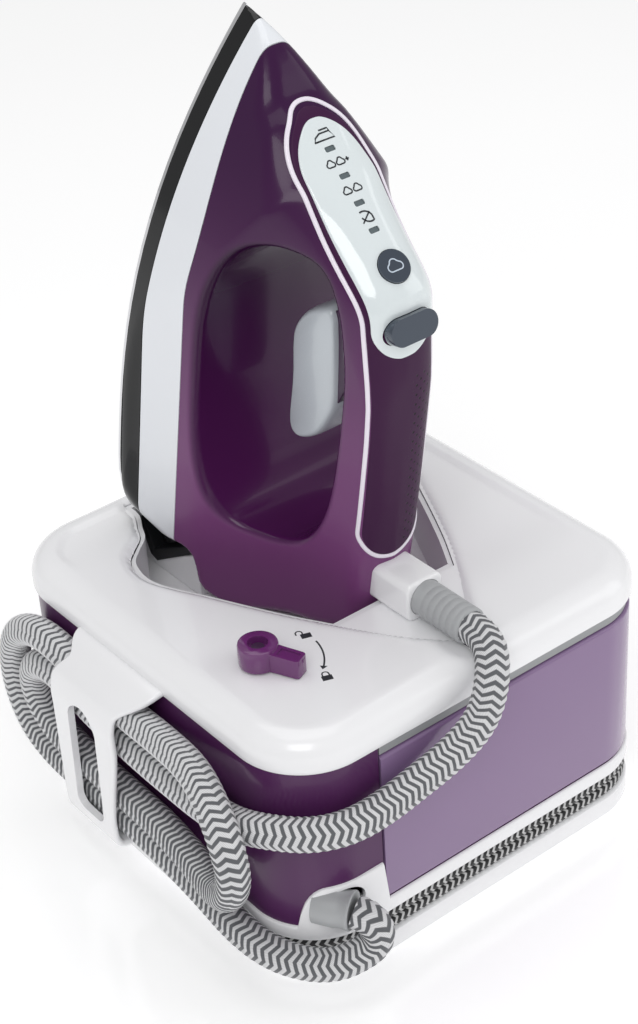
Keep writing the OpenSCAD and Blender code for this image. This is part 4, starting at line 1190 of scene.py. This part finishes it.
class Form:
    """The iron's outer form as a field of distances, negative inside, on a grid in x, s and v."""

    def __init__(self):
        self.low = np.array([-66.0, -8.0, -5.0])
        shape = np.ceil((np.array([66.0, 290.0, 141.0]) - self.low) / GRID).astype(int) + 1
        x, s, v = (self.low[i] + GRID * np.arange(shape[i]) for i in range(3))
        side = self.flat(s, v, side_outline())
        low_plan = self.flat(x, s, sole_outline(273))[:, :, None]
        high_plan = self.flat(x, s, sole_outline(292))[:, :, None]
        behind = smoothstep(150, 190, s)[None, :, None] * smoothstep(34, 44, v)
        plan_view = low_plan * (1 - behind) + high_plan * behind
        views = []
        for half in (FRONT_VIEW, REAR_VIEW):
            right = np.concatenate([[half[0]], spline(half[1:], 1.5)])
            views.append(self.flat(x, v, np.concatenate([right, right[::-1] * [-1, 1]]))[:, None, :])
        rear = smoothstep(88, 130, s)[None, :, None]
        lateral = soft_max(plan_view, views[0] * (1 - rear) + views[1] * rear, 2.0)
        # The radius of the edges: small at the sole and the heel, large along the handle's front
        r = 2 + 5.5 * smoothstep(15, 42, v) + (11.0 * (1 - rear) - 0.5 * rear) * smoothstep(42, 70, v)
        heel = smoothstep(225, 250, s)[None, :, None] * smoothstep(90, 60, v)
        r = r * (1 - heel) + 2.5 * heel
        body = round_max(side[None], lateral, r)
        self.whole = body
        body = round_max(body, -self.flat(s, v, hole_outline())[None], 3.6)
        gx, gs, gv = x[:, None, None], s[None, :, None], v[None, None, :]
        trigger_bay = [(97, 60), (97, 114.5), (118, 114.5), (124, 110), (166, 110), (184, 104), (184, 60)]
        bay_side = self.flat(s, v, np.array(trigger_bay, float))
        body = np.maximum(body, -np.maximum(bay_side[None], np.abs(gx) - 11.6))
        # The buttons' wells: place, angle, half the straight part across, radius
        for (s0, v0), angle, straight, radius in (
            (panel_point(POWER_AT), PANEL_A, 0, 7.9),
            (MODE_AT, MODE_A, 6.5, 6.5),
        ):
            up = -(gs - s0) * math.sin(angle) + (gv - v0) * math.cos(angle)
            along = (gs - s0) * math.cos(angle) + (gv - v0) * math.sin(angle)
            across = np.maximum(np.abs(gx) - straight, 0)
            well = np.maximum(np.sqrt(across**2 + along**2) - radius, -(up + 6.6))
            body = np.maximum(body, -well)
        self.field = body
        self.top = self.find_top(v)

    @staticmethod
    def flat(a, b, outline):
        """The signed distance to an outline at every pair of a and b."""
        grid = np.stack(np.meshgrid(a, b, indexing="ij"), -1).reshape(-1, 2)
        return distance(grid, outline).reshape(len(a), len(b))

    def sample(self, field, p):
        """The field's values at points between the grid's."""
        q = (p - self.low) / GRID
        base = np.clip(np.floor(q).astype(int), 0, np.array(field.shape) - 2)
        f = q - base
        total = 0
        for i in (0, 1):
            for j in (0, 1):
                for k in (0, 1):
                    share = np.abs(1 - i - f[:, 0]) * np.abs(1 - j - f[:, 1]) * np.abs(1 - k - f[:, 2])
                    total = total + share * field[base[:, 0] + i, base[:, 1] + j, base[:, 2] + k]
        return total

    def slope(self, field, p, step=1.0):
        """How the field grows in x, s and v, which is square to its surface."""
        out = [self.sample(field, p + d) - self.sample(field, p - d) for d in np.eye(3) * step]
        return np.stack(out, -1) / (2 * step)

    def outward(self, p):
        """Directions of length 1 out of the whole form's surface."""
        return unit(self.slope(self.whole, p, 1.5))

    def project(self, field, p, rounds):
        """Points moved onto the field's surface."""
        for _ in range(rounds):
            g = self.slope(field, p)
            size = np.maximum((g * g).sum(1), 0.05)
            p = p - (self.sample(field, p) / size)[:, None] * g
        return p

    def find_top(self, v):
        """The height of the form's top over each x and s, or NaN beside the form."""
        inside = self.whole < 0
        last = inside.shape[2] - 1 - np.argmax(inside[:, :, ::-1], axis=2)
        last = np.clip(last, 0, inside.shape[2] - 2)
        i, j = np.indices(last.shape)
        a, b = self.whole[i, j, last], self.whole[i, j, last + 1]
        return np.where(inside.any(axis=2), v[last] + GRID * a / (a - b), np.nan)

    def on_top(self, flat, lift):
        """Points of the top surface over (x, s), lifted along the surface's normal."""
        q = (flat - self.low[:2]) / GRID
        base = np.clip(np.floor(q).astype(int), 0, np.array(self.top.shape) - 2)
        f = q - base
        v, weight = np.zeros(len(flat)), np.zeros(len(flat))
        for i in (0, 1):
            for j in (0, 1):
                share = np.abs(1 - i - f[:, 0]) * np.abs(1 - j - f[:, 1])
                here = self.top[base[:, 0] + i, base[:, 1] + j]
                real = ~np.isnan(here)
                v += np.where(real, share * np.nan_to_num(here), 0)
                weight += share * real
        p = np.column_stack([flat, v / np.maximum(weight, 1e-6)])
        p = self.project(self.whole, p, 2)
        return p + self.outward(p) * np.asarray(lift, float).reshape(-1, 1)

    def mesh(self, field):
        """The field's zero surface: a point in each cell that it crosses, a face for each crossed edge."""
        cells = np.array(field.shape) - 1
        total = np.zeros((cells.prod(), 3))
        count = np.zeros(cells.prod())
        quads = []
        for axis in range(3):
            low = np.take(field, range(field.shape[axis] - 1), axis)
            high = np.take(field, range(1, field.shape[axis]), axis)
            at = np.argwhere((low < 0) != (high < 0))
            a, b = low[tuple(at.T)], high[tuple(at.T)]
            place = at.astype(float)
            place[:, axis] += a / (a - b)
            others = [i for i in range(3) if i != axis]
            if axis == 1:
                others = others[::-1]
            ids = []
            keep = np.ones(len(at), bool)
            for da, db in ((0, 0), (1, 0), (1, 1), (0, 1)):
                cell = at.copy()
                cell[:, others[0]] -= da
                cell[:, others[1]] -= db
                keep &= (cell >= 0).all(1) & (cell < cells).all(1)
                ids.append(np.ravel_multi_index(np.clip(cell, 0, cells - 1).T, cells))
            for one in ids:
                for i in range(3):
                    total[:, i] += np.bincount(one[keep], place[keep][:, i], len(total))
                count += np.bincount(one[keep], minlength=len(total))
            quad = np.stack(ids, -1)[keep]
            flip = (a < 0)[keep]
            quad[flip] = quad[flip][:, ::-1]
            quads.append(quad)
        quads = np.concatenate(quads)
        used, faces = np.unique(quads, return_inverse=True)
        faces = faces.reshape(quads.shape)
        points = self.low + GRID * (total[used] / count[used][:, None])
        return points, faces


def slice_form(points, faces, low, high, name, body, material, nodes, slot):
    """The part of a closed form between two heights over the sole, closed again at its cuts."""
    mesh = bpy.data.meshes.new(name)
    mesh.from_pydata(points.tolist(), [], faces.tolist())
    bm = bmesh.new()
    bm.from_mesh(mesh)
    for height, keep_above in ((low, True), (high, False)):
        if height is None:
            continue
        drop = SEAM_DROP if height > 30 else 0.0
        # Lifted at the nose for the cut, so that the seam comes down there
        for vert in bm.verts:
            vert.co.z += drop * float(smoothstep(95, 5, vert.co.y))
        geometry = bm.verts[:] + bm.edges[:] + bm.faces[:]
        bmesh.ops.bisect_plane(
            bm, geom=geometry, dist=1e-4, plane_co=(0, 0, height), plane_no=(0, 0, 1),
            clear_inner=keep_above, clear_outer=not keep_above,
        )  # fmt: skip
        open_edges = [e for e in bm.edges if e.is_boundary]
        bmesh.ops.holes_fill(bm, edges=open_edges, sides=0)
        for vert in bm.verts:
            vert.co.z -= drop * float(smoothstep(95, 5, vert.co.y))
    bm.to_mesh(mesh)
    bm.free()
    co = read_points(mesh)
    # Painted shade: the finger hole's walls and the band round its rim are marked here for a darker purple in
    # body_material
    inner = smoothstep(4.0, 0.6, np.abs(distance(co[:, 1:], hole_outline())))
    mesh.attributes.new("inner", "FLOAT", "POINT").data.foreach_set("value", inner)
    mesh.vertices.foreach_set("co", to_row(docked(co)).ravel())
    mesh.update()
    tidy(mesh)
    finish_piece(add_object(name, mesh), body, material, nodes, slot, sharp=32)


def patch_half(s, half, s0, s1):
    """Half the width of a long round-ended patch, where half is its (front, rear) widest."""
    front, rear = half
    straight = front + (rear - front) * smoothstep(40, 150, s)
    arch, end = front * 1.1, rear
    a = np.clip((s - s0) / arch, 0, 1)
    b = np.clip((s1 - s) / end, 0, 1)
    return straight * np.sqrt(1 - (1 - a) ** 2) * np.sqrt(1 - (1 - b) ** 2)


def patch_grid(half, s0, s1, rows, columns):
    """A grid over the patch: (rows, columns, 2), and about how far each point is from its edge."""
    t = np.linspace(0, 1, rows)
    s = s0 + (s1 - s0) * (0.35 * t + 0.65 * (1 - np.cos(math.pi * t)) / 2)
    s[0] += 0.02
    s[-1] -= 0.02
    width = patch_half(s, half, s0, s1)
    a = np.sin(np.linspace(-1, 1, columns) * math.pi / 2)
    x = width[:, None] * a[None]
    grid = np.stack([x, np.broadcast_to(s[:, None], x.shape)], -1)
    inside = np.minimum(width[:, None] - np.abs(x), np.minimum(s - s0, s1 - s)[:, None])
    return grid, inside


def patch_outline(half, s0, s1):
    t = (1 - np.cos(np.linspace(0, math.pi, 400))) / 2
    s = s0 + (s1 - s0) * t
    side = np.stack([patch_half(s, half, s0, s1), s], -1)
    whole = np.concatenate([side, side[::-1][1:] * [-1, 1]])
    return even(whole, 1.2, True)


def skin(form, name, half, s0, s1, lift, edge, columns, rows):
    """A thin moulded skin that lies on the top of the handle."""
    grid, inside = patch_grid(half, s0, s1, rows, columns)
    flat = grid.reshape(-1, 2)
    near = np.clip(inside.ravel() / edge, 0, 1)
    height = lift * np.sqrt(1 - (1 - near) ** 2)
    top = form.on_top(flat, height)
    bottom = form.on_top(flat, -2.2)
    n = len(flat)
    faces = []
    for i in range(rows - 1):
        for k in range(columns - 1):
            a = i * columns + k
            faces.append((a, a + 1, a + columns + 1, a + columns))
            faces.append((n + a, n + a + columns, n + a + columns + 1, n + a + 1))
    rim = [i * columns for i in range(rows)]
    rim += [(rows - 1) * columns + k for k in range(1, columns)]
    rim += [i * columns + columns - 1 for i in range(rows - 2, -1, -1)]
    rim += [k for k in range(columns - 2, 0, -1)]
    for a, b in zip(rim, rim[1:] + rim[:1]):
        faces.append((a, b, b + n, a + n))
    return solid(docked(np.concatenate([top, bottom])), faces, name)


def add_plan_uv(piece):
    """UVs in millimetres across and along the handle, for its pattern."""
    mesh = piece.data
    layer = mesh.uv_layers.new(name="UVMap")
    p = read_points(mesh) * 1000 - SHIFT - IRON_AT
    s = p[:, 1] * math.sin(LEAN) - p[:, 2] * math.cos(LEAN)
    corner = corner_points(mesh)
    layer.data.foreach_set("uv", np.stack([p[corner, 0], s[corner]], -1).ravel())


def tilted(s0, v0, angle):
    """A place on the handle with its own a across, b along and height out of the surface."""

    def place(p):
        x, along, up = p[:, 0], p[:, 1], p[:, 2]
        s = s0 + along * math.cos(angle) - up * math.sin(angle)
        v = v0 + along * math.sin(angle) + up * math.cos(angle)
        return docked(np.stack([x, s, v], -1))

    return place


def on_panel(d):
    return tilted(*panel_point(d), PANEL_A)


def stadium(half, r):
    """A bar with round ends."""
    return np.concatenate([arc(half - r, 0, r, -90, 90, 16), arc(r - half, 0, r, 90, 270, 16)])


# The first light's distance up the slope, and the distance from light to light
LED_FIRST, LED_STEP = 16.0, 12.8


def cut_panel(piece):
    """Openings for the two buttons and the four lights."""
    cut(piece, lathe([(7.65, -8), (7.65, 8)], on_panel(POWER_AT), 56))
    cut(piece, prism(stadium(12.75, 6.25), -7, 9, tilted(*MODE_AT, MODE_A)))
    light = np.concatenate(rounded_box(2.6, 1.25, 0.7, 4))
    for i in range(4):
        cut(piece, prism(light, -6, 6, on_panel(LED_FIRST + LED_STEP * i)))


def make_handle(form):
    """The grip, the control panel in its front half and the light ring round both."""
    grip = skin(form, "grip", (18.8, 16.0), 27.0, 213.4, 0.3, 0.8, 49, 150)
    cut_panel(grip)
    finish_piece(grip, "iron", "grip", ["handle_grip"], "grip_purple", sharp=40)
    add_plan_uv(grip)
    panel = skin(form, "panel", (17.2, 15.2), 29.6, 106.0, 0.8, 0.9, 49, 100)
    cut_panel(panel)
    finish_piece(panel, "iron", "panel", ["handle_panel"], "panel_white", sharp=40)
    loop = patch_outline((19.6, 17.0), 25.4, 214.6)
    middle = form.on_top(loop, 0.0)
    ahead = unit(np.roll(middle, -1, axis=0) - np.roll(middle, 1, axis=0))
    out = unit(np.cross(form.slope(form.whole, middle, 1.5), ahead))
    rings = []
    half = ((1.1, -2.0), (1.05, 0.2), (0.75, 0.55))
    for across, lift in [(-a, h) for a, h in half] + [(0, 0.75)] + list(half[::-1]):
        near = form.project(form.whole, middle + out * across, 2)
        rings.append(docked(near + form.outward(near) * lift))
    rings.append(rings[0])
    make("light_ring", *loft(rings, caps=False), "iron", "ring", ["trim_ring"], "white_plastic", sharp=50)


def make_icons():
    """Dark symbols on the panel beside its lights, and a pale symbol on the power button."""
    dark = []
    for i, kind in enumerate(("iron", "many", "steam", "leaf")):
        place = on_panel(LED_FIRST + LED_STEP * i - 6.4)

        def put(p, place=place):
            return place(p + [0, 0, 0.72])

        if kind == "iron":
            side = [(-5.5, 2.2), (5.0, 2.2), (3.6, -1.0), (-1.5, -1.0), (-4.2, 0.4), (-5.5, 2.2)]
            dark.append(stroke(side, 0.75, put))
            dark.append(stroke([(-1.0, -2.4), (3.4, -2.4), (3.6, -1.0)], 0.75, put))
        elif kind == "leaf":
            edges = [arc(-1.2, 1.4, 4.0, -110, -20, 12), arc(1.2, -1.4, 4.0, 70, 160, 12)]
            dark.append(stroke(np.concatenate(edges), 0.75, put))
            dark.append(stroke([(-3.2, 2.4), (0, 0), (2.2, -1.6)], 0.65, put))
        else:
            clouds = (-2.6, 2.6) if kind == "steam" else (-3.6, 1.4)
            for x in clouds:
                puff = [arc(x - 1.0, 0.4, 1.0, 90, 250, 8), arc(x + 0.1, -0.7, 1.1, 200, 330, 8)]
                puff += [arc(x + 1.2, 0.4, 1.0, 290, 450, 8), [(x - 1.0, 1.4)]]
                dark.append(stroke(np.concatenate(puff), 0.65, put))
            if kind == "many":
                dark.append(stroke([(4.2, 0), (6.0, 0)], 0.7, put))
                dark.append(stroke([(5.1, -0.9), (5.1, 0.9)], 0.7, put))
    make("panel_icons", *joined(dark), "iron", "print", slot="dark_metallic")
    power = on_panel(POWER_AT)

    def on_button(p):
        return power(p + [0, 0, 1.4])

    cloud = [arc(-2.0, 0.6, 1.7, 80, 250, 10), arc(0.0, -1.0, 2.0, 200, 340, 10)]
    cloud += [arc(2.2, 0.6, 1.7, 290, 440, 10), [(-1.7, 2.27)]]
    icon = stroke(np.concatenate(cloud), 0.55, on_button)
    make("power_icon", *icon, "power_key", "glow", slot="panel_white")


TRIGGER_FACE = [
    (105.3, 77.6), (113.8, 67.8), (124.7, 61.6), (134.3, 60.4), (159.6, 62.6), (182.9, 64.7), (185.3, 68.3),
    (182.4, 74.7), (174.8, 82.4), (163.4, 88.5), (152.8, 91.7), (139.9, 91), (113.3, 87.6), (106, 85.8),
    (103.1, 82.7),
]  # fmt: skip
TRIGGER_SIDE = [
    (102, 110), (101.5, 92), (105, 82), (112, 72), (122, 66.5), (140, 65), (160, 66), (172, 69), (176, 73),
    (173, 78), (164, 85), (150, 92), (134, 98), (116, 102), (112, 110), (106, 112),
]  # fmt: skip


def make_trigger():
    """The pale pad, thinner towards its sides, and the dark stem that carries it."""
    face = spline(TRIGGER_FACE, 1.6, True)
    centre = face.mean(0)
    away = face - centre
    reach = np.linalg.norm(away, axis=1)[:, None]
    rings = []
    half_widths = (10.6, 10.3, 9.4, 8.0, 6.0, 3.0)
    for x in [-w for w in half_widths] + [0.0] + list(half_widths[::-1]):
        t = abs(x) / half_widths[0]
        inset = 3.4 * (1 - math.sqrt(max(0.0, 1 - t**5)))
        outline = centre + away * (1 - inset / reach)
        rings.append(docked(np.column_stack([np.full(len(face), x), outline])))
    make("trigger_pad", *loft(rings), "trigger_lever", "trigger", ["trigger"], "trigger_grey", sharp=50)
    points, faces = prism(np.array(TRIGGER_SIDE, float), -7.5, 7.5, pushed_in_x)
    make("trigger_stem", docked(points), faces, "trigger_lever", "stem", slot="trigger_grey", bevel=0.6)


def along_hose(p):
    """Turns a lathe's axis to run along the hose's first stretch."""
    return np.stack([p[:, 0] + DOCK_X, p[:, 2], p[:, 1] + HOSE_Z], -1)


def make_connector():
    """The white connector at the heel, and the ribbed grey sleeve that runs on from it."""
    half = np.array([10.4, 9.9])
    ring = np.concatenate(rounded_box(*half, 4.0, 8))
    rings = []
    ends = [(-68, 1.2), (-67.7, 0.5), (-67, 0.1), (-66, 0), (-56, 0), (-46, 0), (-37, 0)]
    ends += [(-36.2, 0.4), (-36, 1)]
    for y, inset in ends:
        part = ring * (half - inset) / half
        rings.append(np.stack([part[:, 0] + DOCK_X, np.full(len(part), y), part[:, 1] + HOSE_Z - 0.2], -1))
    shell = solid(*loft(rings))
    cut(shell, lathe([(8.9, -70), (8.9, -60)], along_hose, 64))
    name_and_finish(shell, "connector", "iron", "white", ["hose_connector"], "white_plastic", sharp=40)
    profile = [(8.2, -58), (8.7, -60), (8.7, -70)]
    for k in range(6):
        y = -70.6 - k * 4.1
        profile += [(8.7, y), (8.7, y - 3.1), (8.5, y - 3.4), (8.5, y - 3.8)]
    profile += [(8.7, -95.6), (8.7, -97.2), (8.4, -97.8), (7.6, -98.2)]
    sleeve = lathe(profile, along_hose, 64)
    make("hose_sleeve_top", *sleeve, "iron", "light_grey", ["hose_sleeve"], "grey_plastic", sharp=45)


def make_iron():
    """The iron: its form in three layers, the handle's skins, the trigger and the hose connector."""
    form = Form()
    points, faces = form.mesh(form.field)
    # Each point moves onto the surface, but by no more than this
    most = 0.5
    shift = form.project(form.field, points, 1) - points
    size = np.linalg.norm(shift, axis=1)[:, None]
    points = points + shift * np.minimum(1, most / np.maximum(size, 1e-6))
    slice_form(points, faces, 34.2, None, "iron_shell", "iron", "body", ["iron_body"], "purple_gloss")
    slice_form(points, faces, 11.3, 33.8, "iron_skirt", "iron", "skirt", ["white_skirt"], "white_plastic")
    slice_form(points, faces, 2.6, 10.9, "sole_frame", "iron", "black", ["sole_skirt"], "black_plastic")
    make_handle(form)
    make_icons()
    make_trigger()
    make_connector()


# ---------- CAD nodes that stay ----------

KEPT = {
    "rubber_feet": "rubber", "heat_cradle": "cradle", "lock_cam": "white", "tank_valve": "white",
    "tank_inlet": "grey", "boiler": "steel", "boiler_heater": "steel", "safety_valve": "brass",
    "boiler_thermostat": "white", "pump": "brass", "pump_mounts": "rubber", "solenoid_valve": "black",
    "control_board": "board", "water_tube": "tube", "feed_tube": "tube", "steam_pipe": "tube",
    "tray_screws": "steel", "cover_screws": "steel", "soleplate": "sole", "steam_chamber": "cast",
    "sole_heater": "steel", "thermal_fuse": "white", "heel_rest": "black", "power_button": "dark",
    "mode_button": "dark", "led_lenses": "lens", "iron_board": "board", "trigger_pin": "steel",
    "trigger_spring": "steel", "trigger_switch": "black", "iron_tube": "tube",
}  # fmt: skip
SOFTENED = {"heat_cradle": 0.7, "heel_rest": 0.8, "power_button": 0.6, "mode_button": 0.6, "rubber_feet": 0.4}


def dress_nodes():
    """Materials, and softer edges where they show, for the CAD nodes that stay."""
    for name, material in KEPT.items():
        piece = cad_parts[name]
        piece.data.materials.clear()
        piece.data.materials.append(MATERIALS[material])
        if name in SOFTENED:
            weld = piece.modifiers.new("weld", "WELD")
            weld.merge_threshold = 1e-5
            add_bevel(piece, SOFTENED[name], 30)


def make_floor():
    """A pale, slightly glossy floor for the picture only."""
    m, tree, shader = new_material("pale floor")
    drift = mixed(tree, noise(tree, 3, 2), (0.9, 0.9, 0.905, 1), (0.93, 0.93, 0.93, 1))
    tree.links.new(drift, shader.inputs["Base Color"])
    shader.inputs["Roughness"].default_value = 0.14
    shader.inputs["Emission Color"].default_value = (1, 1, 1, 1)
    shader.inputs["Emission Strength"].default_value = 0.31
    shader.inputs["Specular IOR Level"].default_value = 0.8
    mesh = bpy.data.meshes.new("floor")
    mesh.from_pydata([(-6, -6, 0), (6, -6, 0), (6, 6, 0), (-6, 6, 0)], [], [(0, 1, 2, 3)])
    mesh.materials.append(m)
    add_object("floor", mesh)


make_camera()
make_hose()
make_lead()
make_lights()
make_floor()
make_tray()
make_housing()
make_tank()
make_lid()
make_dock()
make_hook()
make_lever()
make_lid_print()
make_iron()
dress_nodes()
